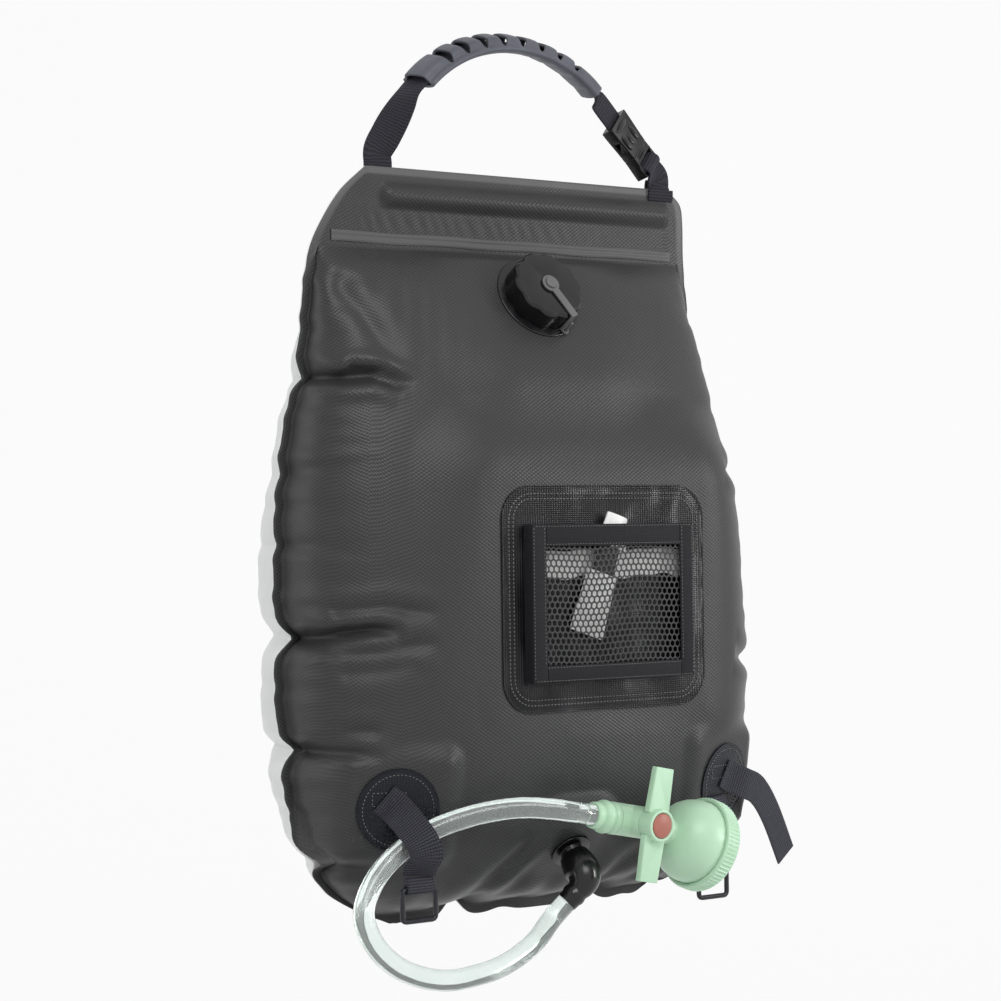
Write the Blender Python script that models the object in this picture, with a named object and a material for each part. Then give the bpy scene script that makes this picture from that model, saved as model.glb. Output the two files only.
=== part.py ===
# Camp shower bag, hanging full from its handle.
# Metres, +Z up, the front faces -Y and +X is to the right of someone who faces the front.
# The origin is where a hook carries the grip, under the middle of its arch.

import math

import bmesh
import bpy
import numpy as np
from mathutils import Matrix, Vector

# Clearances
GAP = 0.0003
OVERRUN = 0.004
RUNNING_GAP = 0.0005
WELD_DISTANCE = 0.000001
SHARP_ANGLE = 35

# Bag
HEADER_DROP = 0.1025
HEADER_HEIGHT = 0.0645
BAG_HEIGHT = 0.594
BAG_HALF_WIDTH = 0.222
SEAM_WIDTH = 0.008
PANEL_WALL = 0.0012
FRONT_BULGE = 0.086
BACK_BULGE = 0.104
BULGE_POWER = 3.0
LEFT_EDGE_SHARES = (
    (0.0, 0.617), (0.035, 0.721), (0.082, 0.806), (0.116, 0.847), (0.168, 0.874),
    (0.234, 0.892), (0.305, 0.932), (0.402, 0.982), (0.517, 1.0), (0.697, 1.0),
    (0.813, 0.973), (0.899, 0.914), (0.948, 0.82), (0.975, 0.72), (1.0, 0.56),
)
RIGHT_EDGE_SHARES = (
    (0.0, 0.71), (0.018, 0.768), (0.04, 0.782), (0.101, 0.784), (0.168, 0.8),
    (0.204, 0.82), (0.274, 0.851), (0.38, 0.9), (0.473, 0.95), (0.572, 0.973),
    (0.673, 0.986), (0.761, 0.973), (0.875, 0.937), (0.923, 0.883), (0.963, 0.766),
    (1.0, 0.56),
)
BULGE_SHARES = (
    (0.0, 0.0), (0.03, 0.22), (0.07, 0.4), (0.14, 0.58), (0.25, 0.77), (0.4, 0.93),
    (0.55, 1.0), (0.75, 1.0), (0.86, 0.92), (0.93, 0.75), (0.975, 0.48), (1.0, 0.0),
)
HEADER_ROWS = 21
PANEL_ROWS = 84
PANEL_COLUMNS = 60
PANEL_KEPT_SHARE = 0.055

# Header
HEADER_LEFT = BAG_HALF_WIDTH * LEFT_EDGE_SHARES[0][1]
HEADER_RIGHT = BAG_HALF_WIDTH * RIGHT_EDGE_SHARES[0][1]
ROD_RADIUS = 0.003
ROD_DEPTH = 0.022
ROD_LEFT_MARGIN = 0.02
ROD_RIGHT_MARGIN = 0.0076
ROD_LEFT = HEADER_LEFT - ROD_LEFT_MARGIN
ROD_RIGHT = HEADER_RIGHT - ROD_RIGHT_MARGIN
TUNNEL_RISE = 0.0073
TUNNEL_HALF_HEIGHT = 0.0122
TUNNEL_MARGIN = 0.008
STRIP_DEPTH = 0.0565
STRIP_HEIGHT = 0.009
STRIP_THICKNESS = 0.001
STRIP_END_MARGIN = 0.014

# Places on the front: how far in from the bag's side, up from its bottom and below the header's top edge
ANCHOR_IN = 0.067
POCKET_UP = 0.253
ANCHOR_UP = 0.098
OUTLET_UP = 0.056
FILLER_DEPTH = 0.102
FILLER_TILT = 28
POCKET_RIGHT = 0.027
POCKET_DEPTH = BAG_HEIGHT - POCKET_UP
ANCHOR_RIGHT = BAG_HALF_WIDTH - ANCHOR_IN
ANCHOR_DEPTH = BAG_HEIGHT - ANCHOR_UP
OUTLET_DEPTH = BAG_HEIGHT - OUTLET_UP
FLAT_BLEND = 0.02
HEADER_FADE = 0.006

# Filler
FILLER_FLANGE_RADIUS = 0.037
FILLER_FLANGE_THICKNESS = 0.0016
NECK_RADIUS = 0.024
NECK_BORE = 0.02
NECK_HEIGHT = 0.015
THREAD_RISE = 0.0007
THREAD_WIDTH = 0.0014
THREAD_PLACES_SHARES = (0.5, 0.8)
CAP_RADIUS = 0.031
CAP_LOBE = 0.0022
CAP_LOBES = 10
CAP_BORE = 0.0252
CAP_TOP = 0.003
CAP_CHAMFER = 0.002
SKIRT_CLEARANCE = 0.0006
SEAL_THICKNESS = 0.0015
SEAL_WIDTH = 0.004
EYE_RADIUS = 0.0075
EYE_BORE = 0.0032
TETHER_WIDTH = 0.0065
TETHER_THICKNESS = 0.0014
TETHER_ANGLE = -66
RIVET_RADIUS = 0.0027
RIVET_HEAD_RADIUS = 0.0052
RIVET_HEAD_HEIGHT = 0.0015
RIVET_FACE_SHARE = 0.9
RIVET_SINK = 0.0016
POST_RADIUS = 0.0013
POST_PLACE = 0.0352
POST_HEIGHT = 0.0125
POST_RING_RADIUS = 0.0031

# Pocket
PATCH_WIDTH = 0.195
PATCH_HEIGHT = 0.177
PATCH_CORNER = 0.027
PATCH_THICKNESS = 0.0012
POCKET_WIDTH = 0.155
POCKET_HEIGHT = 0.122
POCKET_DROP = 0.003
POCKET_ROOM = 0.011
TAPE_WIDTH = 0.013
TAPE_THICKNESS = 0.0012
HEM_HEIGHT = 0.017
NET_THICKNESS = 0.0008
NET_STRAND = 0.0014
NET_OVERLAP = 0.003
NET_COLUMNS = 11
NET_ROWS = 8
BAND_HEIGHT = 0.024
BAND_THICKNESS = 0.0008
BAND_UP = 0.03
STOWED_TILT = -19
STOWED_RIGHT = -0.0075
STOWED_UP = 0.019
TUBE_LENGTH = 0.05
TUBE_WIDTH = 0.033
TUBE_THICKNESS = 0.0085
TUBE_TAIL_SHARE = 0.25
TUBE_SHOULDER_SHARE = 0.88
TUBE_PLACES_SHARES = (0, 0.15, 0.5, 0.85, 1)
NECKBAND_LENGTH = 0.022
NECKBAND_WIDTH = 0.021
TUBE_CAP_LENGTH = 0.026
TUBE_CAP_WIDTH = 0.024
TUBE_CAP_FLANGE = 0.032
TUBE_CAP_FLANGE_LENGTH = 0.005
TUBE_CAP_SHOULDER_LENGTH = 0.007
TUBE_CAP_FACE_SHARE = 0.85

# Anchors and webbing
ANCHOR_RADIUS = 0.032
ANCHOR_THICKNESS = 0.0012
WEBBING_WIDTH = 0.025
WEBBING_THICKNESS = 0.0016
LEFT_STRAP_SHARES = (
    (-0.45, 0.4, 0.04), (-0.1, 0.1, 0.05), (0.2, -0.22, 0.6), (0.5, -0.65, 1.18),
    (0.62, -1.1, 1.2), (0.52, -1.45, 0.95), (0.5, -1.8, 0.75),
)
RIGHT_STRAP_SHARES = (
    (-0.1, 0.3, 0.0), (0.2, 0.15, 0.04), (0.7, -0.05, 0.35), (1.4, -0.35, 0.45),
    (2.2, -1.2, 0.4), (3.05, -2.6, 0.3),
)
RING_STRAP_SHARES = ((-0.42, -0.45, 0.0), (-0.42, -0.9, 0.1), (-0.42, -1.7, 0.12), (-0.42, -2.45, 0.1))
RING_BAR = 0.0021
RING_WIDTH = 0.033
RING_HEIGHT = 0.028
RING_CORNER = 0.003
RING_LOOP_CLEARANCE = 0.0006
LEFT_END_LEAN = 0.0009

# Outlet and elbow
OUTLET_TILT = 42
OUTLET_FLANGE_RADIUS = 0.0165
OUTLET_FLANGE_THICKNESS = 0.002
OUTLET_STEM_RADIUS = 0.0075
OUTLET_STEM_LENGTH = 0.009
OUTLET_COLLAR_HEIGHT = 0.005
OUTLET_COLLAR_RADIUS = 0.0095
WATERWAY_RADIUS = 0.0045
NUT_RADIUS = 0.013
NUT_HEIGHT = 0.004
OUTLET_SEAL_RADIUS = 0.014
OUTLET_SEAL_THICKNESS = 0.001
ELBOW_RADIUS = 0.0092
ELBOW_ARM = 0.024
ELBOW_BEND = 0.012
ELBOW_NECK = 0.012
ELBOW_NECK_DIRECTION = (-0.7, 0.2, -0.69)

# Hose
HOSE_RADIUS = 0.008
HOSE_ROUTE = (
    (-0.051, -0.1, -0.6), (-0.08, -0.108, -0.612), (-0.112, -0.113, -0.618),
    (-0.15, -0.112, -0.618), (-0.184, -0.104, -0.602), (-0.199, -0.094, -0.574),
    (-0.189, -0.086, -0.55), (-0.167, -0.0815, -0.53), (-0.1375, -0.0866, -0.512),
    (-0.1, -0.0965, -0.501), (-0.064, -0.1105, -0.4975),
)
HOSE_POINTS = 40

# Shower head: it hangs left of the right anchor, off the front and above the bag's bottom
HEAD_LEFT = 0.129
HEAD_OFF = 0.033
HEAD_UP = 0.08
HEAD_PLACE = (ANCHOR_RIGHT - HEAD_LEFT, -FRONT_BULGE - HEAD_OFF, HEAD_UP - BAG_HEIGHT)
HEAD_DIRECTION = (0.975, 0.1, -0.2)
FERRULE_LENGTH = 0.022
FERRULE_RADIUS = 0.0105
COLLAR_TAPER_START = 0.0088
COLLAR_LENGTH = 0.0033
VALVE_RADIUS = 0.0125
VALVE_HALF_LENGTH = 0.02
BOSS_RADIUS = 0.0122
BOSS_HEIGHT = 0.0205
VALVE_FLOOR = 0.0095
PLUG_RADIUS = 0.0082
STEM_RADIUS = 0.005
HUB_RADIUS = 0.0125
HUB_HEIGHT = 0.0145
WING_SPAN = 0.088
WING_WIDTH = 0.021
WING_THICKNESS = 0.006
WING_RISE = 0.0025
WING_TAPER_SHARE = 0.86
BUTTON_RADIUS = 0.0096
BUTTON_SINK = 0.003
BUTTON_PROUD = 0.0012
BUTTON_FACE_SHARE = 0.7
DOME_NECK_LENGTH = 0.02
DOME_LENGTH = 0.031
DOME_RADIUS = 0.0335
DOME_NECK_RADIUS = 0.0105
DOME_WALL = 0.0024
DOME_LIP = 0.008
HEAD_BEND = 10
ROSE_RADIUS = 0.0365
ROSE_WIDTH = 0.014
ROSE_RIBS = 36
ROSE_RIB_RISE = 0.0008
ROSE_LIP = 0.0045
ROSE_FACE = 0.0018
SPRAY_THICKNESS = 0.0018
SPRAY_HOLE = 0.0011
SPRAY_RINGS_SHARES = ((0.38, 6), (0.78, 12))
ROSE_SEAL_THICKNESS = 0.0012

# Grip
ARCH_RADIUS = 0.12
ARCH_LEFT_ANGLE = 47
ARCH_RIGHT_ANGLE = 43
ARCH_STEPS = 18
GRIP_TWIST = 18
GRIP_HALF_WIDTH = 0.0175
GRIP_BELOW = 0.0065
GRIP_ABOVE = 0.0075
GRIP_OUTLINE_SHARES = (
    (-0.9, -1.0), (0.9, -1.0), (1.0, -0.7), (1.0, -0.3), (0.78, 0.0), (0.75, 0.6),
    (0.55, 1.0), (-0.55, 1.0), (-0.75, 0.6), (-0.78, 0.0), (-1.0, -0.3), (-1.0, -0.7),
)
GRIP_SLOTS = 8
SLOT_LENGTH = 0.0105
SLOT_PITCH = 0.0195
SLOT_SPAN_SHARE = 1.2
CHANNEL_CLEARANCE = 0.0006

# Handle strap and buckle
FOOT_LEFT_MARGIN = 0.013
FOOT_RIGHT_MARGIN = 0.0076
FOOT_LEFT = HEADER_LEFT - FOOT_LEFT_MARGIN
FOOT_RIGHT = HEADER_RIGHT - FOOT_RIGHT_MARGIN
HINGE_RISE = 0.0015
HINGE_BACK = 0.0026
FOOT_DROP = 0.034
STRAP_RISE = 0.0102
STRAP_LEAD = 0.0136
FOOT_TWIST = 90
BUCKLE_TWIST = 68
TWIST_SHARES = (0.35, 0.7)
BUCKLE_DROP = 0.031
BUCKLE_ANGLE = 46
BUCKLE_LEAD = 0.021
SOCKET_LENGTH = 0.032
SOCKET_BAR = 0.009
BUCKLE_WIDTH = 0.033
BUCKLE_THICKNESS = 0.0105
SOCKET_WALL = 0.002
WINDOW_START = 0.014
WINDOW_LENGTH = 0.011
WINDOW_HEIGHT_SHARE = 0.75
PLUG_BLOCK = 0.007
PLUG_FRAME = 0.013
PLUG_BAR = 0.004
PLUG_WAIST_SHARE = 0.87
PLUG_WIDTH = 0.0305
TONGUE_LENGTH = 0.016
TONGUE_WIDTH = 0.007
PRONG_LENGTH = 0.018
PRONG_WIDTH = 0.0035
PRONG_SHOULDER = 0.0026
PRONG_THICKNESS = 0.0045
LOOP_BULGE = 0.006
SLOT_BELOW_TOP = 0.0095
SLOT_HEIGHT = 0.0032

# Colours, roughness and metallic of each material
DARK_SHEET = ((0.075, 0.075, 0.078), 0.55, 0.0)
WHITE_SHEET = ((0.74, 0.78, 0.76), 0.4, 0.0)
WELD_GREY = ((0.13, 0.13, 0.13), 0.5, 0.0)
GLOSS_BLACK = ((0.012, 0.012, 0.014), 0.25, 0.0)
PATCH_BLACK = ((0.02, 0.02, 0.022), 0.3, 0.0)
WEBBING_BLACK = ((0.018, 0.017, 0.025), 0.8, 0.0)
GRIP_SLATE = ((0.1, 0.105, 0.125), 0.5, 0.0)
TETHER_GREY = ((0.16, 0.16, 0.16), 0.45, 0.0)
NET_BLACK = ((0.015, 0.015, 0.016), 0.7, 0.0)
WHITE_PLASTIC = ((0.85, 0.85, 0.84), 0.35, 0.0)
SEAL_RUBBER = ((0.05, 0.05, 0.05), 0.7, 0.0)
HOSE_CLEAR = ((0.72, 0.78, 0.74), 0.12, 0.0)
MINT = ((0.45, 0.74, 0.5), 0.35, 0.0)
SALMON = ((0.55, 0.16, 0.1), 0.35, 0.0)
ROD_GREY = ((0.3, 0.3, 0.3), 0.5, 0.0)
RING_BLACK = ((0.03, 0.03, 0.035), 0.35, 0.0)

X_AXIS = Vector((1, 0, 0))
Y_AXIS = Vector((0, 1, 0))
Z_AXIS = Vector((0, 0, 1))
FULL_TURN = 2 * math.pi


def clear_scene():
    for obj in list(bpy.data.objects):
        bpy.data.objects.remove(obj, do_unlink=True)


def material_for(name, look):
    colour, roughness, metallic = look
    material = bpy.data.materials.new(name)
    material.use_nodes = True
    shader = material.node_tree.nodes["Principled BSDF"]
    shader.inputs["Base Color"].default_value = (*colour, 1)
    shader.inputs["Roughness"].default_value = roughness
    shader.inputs["Metallic"].default_value = metallic
    material.diffuse_color = (*colour, 1)
    return material


def seat(name, matrix, parent=None):
    """An empty that carries pieces: local Z points out of the face that they sit on."""
    empty = bpy.data.objects.new(name, None)
    bpy.context.collection.objects.link(empty)
    empty.parent = parent
    empty.matrix_basis = matrix
    return empty


def finish(name, mesh, look, parent=None):
    """Turns a bmesh into one named object with its own material."""
    bmesh.ops.remove_doubles(mesh, verts=mesh.verts, dist=WELD_DISTANCE)
    bmesh.ops.recalc_face_normals(mesh, faces=mesh.faces)
    data = bpy.data.meshes.new(name)
    mesh.to_mesh(data)
    mesh.free()
    data.shade_smooth()
    data.set_sharp_from_angle(angle=math.radians(SHARP_ANGLE))
    obj = bpy.data.objects.new(name, data)
    bpy.context.collection.objects.link(obj)
    obj.parent = parent
    data.materials.append(material_for(name, look))
    return obj


def apply_boolean(target, mesh, operation):
    """Cuts or joins with a hidden helper that shares the target's parent."""
    bmesh.ops.remove_doubles(mesh, verts=mesh.verts, dist=WELD_DISTANCE)
    bmesh.ops.recalc_face_normals(mesh, faces=mesh.faces)
    name = f"{target.name}_{operation.lower()}_{len(target.modifiers)}"
    data = bpy.data.meshes.new(name)
    mesh.to_mesh(data)
    mesh.free()
    helper = bpy.data.objects.new(name, data)
    bpy.context.collection.objects.link(helper)
    helper.parent = target.parent
    helper.matrix_basis = target.matrix_basis
    helper.hide_render = True
    helper.display_type = "WIRE"
    modifier = target.modifiers.new(name, "BOOLEAN")
    modifier.operation = operation
    modifier.object = helper
    return helper


def cut(target, mesh):
    return apply_boolean(target, mesh, "DIFFERENCE")


def join(target, mesh):
    return apply_boolean(target, mesh, "UNION")


def turned(profile, steps):
    """A closed (radius, height) outline turned about local Z."""
    mesh = bmesh.new()
    verts = [mesh.verts.new((radius, 0, height)) for radius, height in profile]
    edges = [mesh.edges.new((a, b)) for a, b in zip(verts, verts[1:] + verts[:1])]
    edges = [e for e in edges if not all(abs(v.co.x) < WELD_DISTANCE for v in e.verts)]
    bmesh.ops.spin(
        mesh, geom=verts + edges, cent=(0, 0, 0), axis=Z_AXIS, angle=FULL_TURN, steps=steps,
        use_merge=True
    )
    bmesh.ops.remove_doubles(mesh, verts=mesh.verts, dist=WELD_DISTANCE)
    loose = [edge for edge in mesh.edges if not edge.link_faces]
    bmesh.ops.delete(mesh, geom=loose, context="EDGES")
    return mesh


def ring(inner, outer, low, high, steps):
    return turned([(inner, low), (outer, low), (outer, high), (inner, high)], steps)


def disc(radius, low, high, steps):
    return turned([(0, low), (radius, low), (radius, high), (0, high)], steps)


def prism(outline, low, high):
    """A closed outline in local XY, drawn from low to high."""
    mesh = bmesh.new()
    bottom = [mesh.verts.new((x, y, low)) for x, y in outline]
    top = [mesh.verts.new((x, y, high)) for x, y in outline]
    mesh.faces.new(bottom)
    mesh.faces.new(top)
    for index in range(len(outline)):
        after = (index + 1) % len(outline)
        mesh.faces.new((bottom[index], bottom[after], top[after], top[index]))
    return mesh


def rectangle(width, height, centre_x=0, centre_y=0):
    half_x, half_y = width / 2, height / 2
    corners = ((-half_x, -half_y), (half_x, -half_y), (half_x, half_y), (-half_x, half_y))
    return [(centre_x + x, centre_y + y) for x, y in corners]


def rounded_rectangle(width, height, corner, steps):
    points = []
    for quarter, (side_x, side_y) in enumerate(((1, 1), (-1, 1), (-1, -1), (1, -1))):
        for step in range(steps + 1):
            angle = math.pi / 2 * (quarter + step / steps)
            x = side_x * (width / 2 - corner) + corner * math.cos(angle)
            y = side_y * (height / 2 - corner) + corner * math.sin(angle)
            points.append((x, y))
    return points


def block(low, high):
    """A box between two opposite corners."""
    outline = [(low[0], low[1]), (high[0], low[1]), (high[0], high[1]), (low[0], high[1])]
    return prism(outline, low[2], high[2])


def moved(mesh, matrix):
    bmesh.ops.transform(mesh, matrix=matrix, verts=mesh.verts)
    return mesh


def swept(sections, closed=False):
    """Skins a list of equal rings of points. The ends are capped, or the last ring meets the first."""
    mesh = bmesh.new()
    rings = [[mesh.verts.new(point) for point in section] for section in sections]
    pairs = list(zip(rings, rings[1:]))
    if closed:
        pairs.append((rings[-1], rings[0]))
    for first, second in pairs:
        for index in range(len(first)):
            after = (index + 1) % len(first)
            mesh.faces.new((first[index], first[after], second[after], second[index]))
    if not closed:
        mesh.faces.new(rings[0])
        mesh.faces.new(rings[-1])
    return mesh


def smooth_share(table, share):
    """Reads a table of shares through a smooth curve that passes its points."""
    places = [row[0] for row in table]
    values = [row[1] for row in table]
    last = len(table) - 1
    index = min(max(int(np.searchsorted(places, share, side="right")) - 1, 0), last - 1)
    width = places[index + 1] - places[index]
    local = min(max((share - places[index]) / width, 0), 1)

    def slope(place):
        before, after = max(place - 1, 0), min(place + 1, last)
        return (values[after] - values[before]) / (places[after] - places[before]) * width

    square, cube = local * local, local * local * local
    return (
        (2 * cube - 3 * square + 1) * values[index]
        + (cube - 2 * square + local) * slope(index)
        + (3 * square - 2 * cube) * values[index + 1]
        + (cube - square) * slope(index + 1)
    )


def smooth_route(points, count):
    """Evenly read points on a smooth curve through the given ones."""
    points = [Vector(point) for point in points]
    ends = [2 * points[0] - points[1], *points, 2 * points[-1] - points[-2]]
    dense = []
    fine = 24
    for index in range(1, len(ends) - 2):
        before, start, end, after = ends[index - 1 : index + 3]
        for step in range(fine):
            t = step / fine
            dense.append(
                0.5
                * (
                    2 * start
                    + (end - before) * t
                    + (2 * before - 5 * start + 4 * end - after) * t * t
                    + (3 * start - 3 * end + after - before) * t * t * t
                )
            )
    dense.append(points[-1])
    lengths = [0.0]
    for first, second in zip(dense, dense[1:]):
        lengths.append(lengths[-1] + (second - first).length)
    read = []
    for step in range(count):
        place = lengths[-1] * step / (count - 1)
        index = min(int(np.searchsorted(lengths, place, side="right")), len(dense) - 1)
        span = lengths[index] - lengths[index - 1]
        read.append(dense[index - 1].lerp(dense[index], (place - lengths[index - 1]) / span))
    return read


def frame(origin, outward, up):
    """A matrix at the origin: local Z is outward, and local Y is as near to up as it can be."""
    z = Vector(outward).normalized()
    x = Vector(up).cross(z).normalized()
    y = z.cross(x)
    matrix = Matrix((x, y, z)).transposed().to_4x4()
    matrix.translation = Vector(origin)
    return matrix


def ribbon(stations, width, thickness):
    """Webbing through (centre, normal, along) stations: a flat rectangle that may twist."""
    sections = []
    for centre, normal, along in stations:
        side = Vector(normal).cross(Vector(along)).normalized() * (width / 2)
        out = Vector(along).cross(side).normalized() * (thickness / 2)
        low, high = centre - out, centre + out
        sections.append([low - side, low + side, high + side, high - side])
    return swept(sections)


def stations_along(points, normals):
    found = []
    for index, point in enumerate(points):
        before, after = points[max(index - 1, 0)], points[min(index + 1, len(points) - 1)]
        along = (after - before).normalized()
        normal = normals[index]
        normal = (normal - along * normal.dot(along)).normalized()
        found.append((point, normal, along))
    return found


# Where the bag's two panels lie

def edge_at(depth, side):
    """How far the seam's outer edge is from the middle, at a depth below the header's top."""
    table = RIGHT_EDGE_SHARES if side > 0 else LEFT_EDGE_SHARES
    share = min(max(depth / BAG_HEIGHT, 0), 1)
    return BAG_HALF_WIDTH * smooth_share(table, share)


def bulge_at(x, depth, bulge):
    """How far a full panel stands off the seam's plane."""
    bottom = BAG_HEIGHT - SEAM_WIDTH
    along = (depth - HEADER_HEIGHT) / (bottom - HEADER_HEIGHT)
    if along <= 0 or along >= 1:
        return 0.0
    across = abs(x) / (edge_at(depth, x) - SEAM_WIDTH)
    if across >= 1:
        return 0.0
    crown = (1 - across**BULGE_POWER) ** (1 / BULGE_POWER)
    return bulge * max(smooth_share(BULGE_SHARES, along), 0) * crown


def tunnel_at(x, depth):
    """The rise over the header rod, which dies away past the rod's ends."""
    off = abs(depth - ROD_DEPTH) / TUNNEL_HALF_HEIGHT
    past = max(x - ROD_RIGHT, -ROD_LEFT - x, 0) / TUNNEL_MARGIN
    if off >= 1 or past >= 1:
        return 0.0
    return TUNNEL_RISE * (1 - off * off) ** 2 * (1 - past * past)


def flats():
    """The front's stiffened flats: (x, depth, half width, half height, rise, slope right, slope down)."""
    found = []
    rise = bulge_at(0, FILLER_DEPTH, FRONT_BULGE)
    tilt = math.tan(math.radians(FILLER_TILT))
    found.append((0, FILLER_DEPTH, FILLER_FLANGE_RADIUS, FILLER_FLANGE_RADIUS, rise, 0, tilt))
    rise = bulge_at(POCKET_RIGHT, POCKET_DEPTH, FRONT_BULGE) - PATCH_THICKNESS
    found.append((POCKET_RIGHT, POCKET_DEPTH, PATCH_WIDTH / 2, PATCH_HEIGHT / 2, rise, 0, 0))
    for side in (-1, 1):
        x = side * ANCHOR_RIGHT
        rise = bulge_at(x, ANCHOR_DEPTH, FRONT_BULGE)
        half = ANCHOR_RADIUS / 2
        inner, outer = [bulge_at(x + step, ANCHOR_DEPTH, FRONT_BULGE) for step in (-half, half)]
        upper, lower = [bulge_at(x, ANCHOR_DEPTH + step, FRONT_BULGE) for step in (-half, half)]
        right, down = (outer - inner) / ANCHOR_RADIUS, (lower - upper) / ANCHOR_RADIUS
        found.append((x, ANCHOR_DEPTH, ANCHOR_RADIUS, ANCHOR_RADIUS, rise, right, down))
    rise = bulge_at(0, OUTLET_DEPTH, FRONT_BULGE)
    tilt = -math.tan(math.radians(OUTLET_TILT))
    found.append((0, OUTLET_DEPTH, OUTLET_FLANGE_RADIUS, OUTLET_FLANGE_RADIUS, rise, 0, tilt))
    return found


FLATS = flats()


def front_rise(x, depth):
    rise = max(bulge_at(x, depth, FRONT_BULGE), tunnel_at(x, depth))
    for centre, middle, half_x, half_z, height, right, down in FLATS:
        out_x = max(abs(x - centre) - half_x, 0)
        out_z = max(abs(depth - middle) - half_z, 0)
        off = math.hypot(out_x, out_z) / FLAT_BLEND
        if off < 1:
            below_header = min(max((depth - HEADER_HEIGHT) / HEADER_FADE, 0), 1)
            weight = (1 - off * off * (3 - 2 * off)) * below_header
            plane = height + right * (x - centre) + down * (depth - middle)
            rise += (max(plane, 0) - rise) * weight
    return rise


def back_rise(x, depth):
    return bulge_at(x, depth, BACK_BULGE)


def flat_seat(name, index, parent):
    """An empty on the outer face of one of the front's flats."""
    x, depth, _, _, rise, right, down = FLATS[index]
    outward = Vector((-right, -1, down)).normalized()
    inner = Vector((x, -GAP / 2 - rise, -depth))
    return seat(name, frame(inner + outward * PANEL_WALL, outward, Z_AXIS), parent)


def row_depths():
    """Rows down the panel: closer together over the header's tunnel and by the bottom seam."""
    top = [HEADER_HEIGHT * step / HEADER_ROWS for step in range(HEADER_ROWS)]
    full = BAG_HEIGHT - SEAM_WIDTH - HEADER_HEIGHT
    rest = [HEADER_HEIGHT + full * step / PANEL_ROWS for step in range(PANEL_ROWS + 1)]
    return [*top, *rest, BAG_HEIGHT]


def column_shares():
    """Columns across: closer together by the side seams."""
    return [-math.cos(math.pi * step / PANEL_COLUMNS) for step in range(PANEL_COLUMNS + 1)]


def make_panel(name, side, rise, look, parent):
    """One welded panel. side is -1 for the front and 1 for the back."""
    mesh = bmesh.new()
    rows = []
    for depth in row_depths():
        left, right = edge_at(depth, -1), edge_at(depth, 1)
        places = [-left]
        for share in column_shares():
            inner = (right if share > 0 else left) - SEAM_WIDTH
            places.append(share * inner)
        places.append(right)
        rows.append([mesh.verts.new((x, side * (GAP / 2 + rise(x, depth)), -depth)) for x in places])
    for upper, lower in zip(rows, rows[1:]):
        for index in range(len(upper) - 1):
            mesh.faces.new((upper[index], upper[index + 1], lower[index + 1], lower[index]))
    outward = Vector((0, side, 0))
    mesh.normal_update()
    if sum(face.normal.dot(outward) for face in mesh.faces) < 0:
        bmesh.ops.reverse_faces(mesh, faces=mesh.faces)
    data = bpy.data.meshes.new(name)
    mesh.to_mesh(data)
    mesh.free()
    data.shade_smooth()
    obj = bpy.data.objects.new(name, data)
    bpy.context.collection.objects.link(obj)
    obj.parent = parent
    data.materials.append(material_for(name, look))
    fewer = obj.modifiers.new("Fewer faces", "DECIMATE")
    fewer.ratio = PANEL_KEPT_SHARE
    wall = obj.modifiers.new("Wall", "SOLIDIFY")
    wall.thickness = PANEL_WALL
    wall.offset = 1
    wall.use_even_offset = False
    return obj


# Header

def make_header(bag):
    rod_length = ROD_LEFT + ROD_RIGHT
    place = Matrix.Translation((-ROD_LEFT, -ROD_RADIUS - GAP / 2, -ROD_DEPTH))
    rod_seat = seat("rod_seat", place @ Matrix.Rotation(math.pi / 2, 4, "Y"), bag)
    finish("header_rod", disc(ROD_RADIUS, 0, rod_length, 12), ROD_GREY, rod_seat)
    left = edge_at(STRIP_DEPTH, -1) - STRIP_END_MARGIN
    right = edge_at(STRIP_DEPTH, 1) - STRIP_END_MARGIN
    face = -(GAP / 2 + PANEL_WALL + GAP)
    strip = block(
        (-left, face - STRIP_THICKNESS, -STRIP_DEPTH - STRIP_HEIGHT / 2),
        (right, face, -STRIP_DEPTH + STRIP_HEIGHT / 2),
    )
    finish("weld_strip", strip, WELD_GREY, bag)


# Filler: everything sits on the flange's seat, and heights are above the panel

FLANGE_TOP = GAP + FILLER_FLANGE_THICKNESS
NECK_TOP = GAP + NECK_HEIGHT
SEAL_LOW = NECK_TOP + GAP
CAP_INNER_TOP = SEAL_LOW + SEAL_THICKNESS + GAP
CAP_OUTER_TOP = CAP_INNER_TOP + CAP_TOP
TETHER_LOW = CAP_OUTER_TOP + GAP
TETHER_HIGH = TETHER_LOW + TETHER_THICKNESS
SIDE_IN = CAP_RADIUS + SKIRT_CLEARANCE
SIDE_OUT = SIDE_IN + TETHER_THICKNESS
FOOT_LOW = FLANGE_TOP + GAP


def lobed(radius, lobe, lobes, steps):
    points = []
    for step in range(steps):
        angle = FULL_TURN * step / steps
        dent = lobe * (0.5 - 0.5 * math.cos(lobes * angle)) ** 2
        points.append(((radius - dent) * math.cos(angle), (radius - dent) * math.sin(angle)))
    return points


def make_filler(seat_here):
    neck_profile = [(NECK_BORE, GAP), (FILLER_FLANGE_RADIUS, GAP), (FILLER_FLANGE_RADIUS, FLANGE_TOP)]
    neck_profile.append((NECK_RADIUS, FLANGE_TOP))
    for share in THREAD_PLACES_SHARES:
        middle = NECK_HEIGHT * share
        neck_profile.append((NECK_RADIUS, middle - THREAD_WIDTH))
        neck_profile.append((NECK_RADIUS + THREAD_RISE, middle))
        neck_profile.append((NECK_RADIUS, middle + THREAD_WIDTH))
    neck_profile += [(NECK_RADIUS, NECK_TOP), (NECK_BORE, NECK_TOP)]
    finish("filler_neck", turned(neck_profile, 32), GLOSS_BLACK, seat_here)


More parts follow.
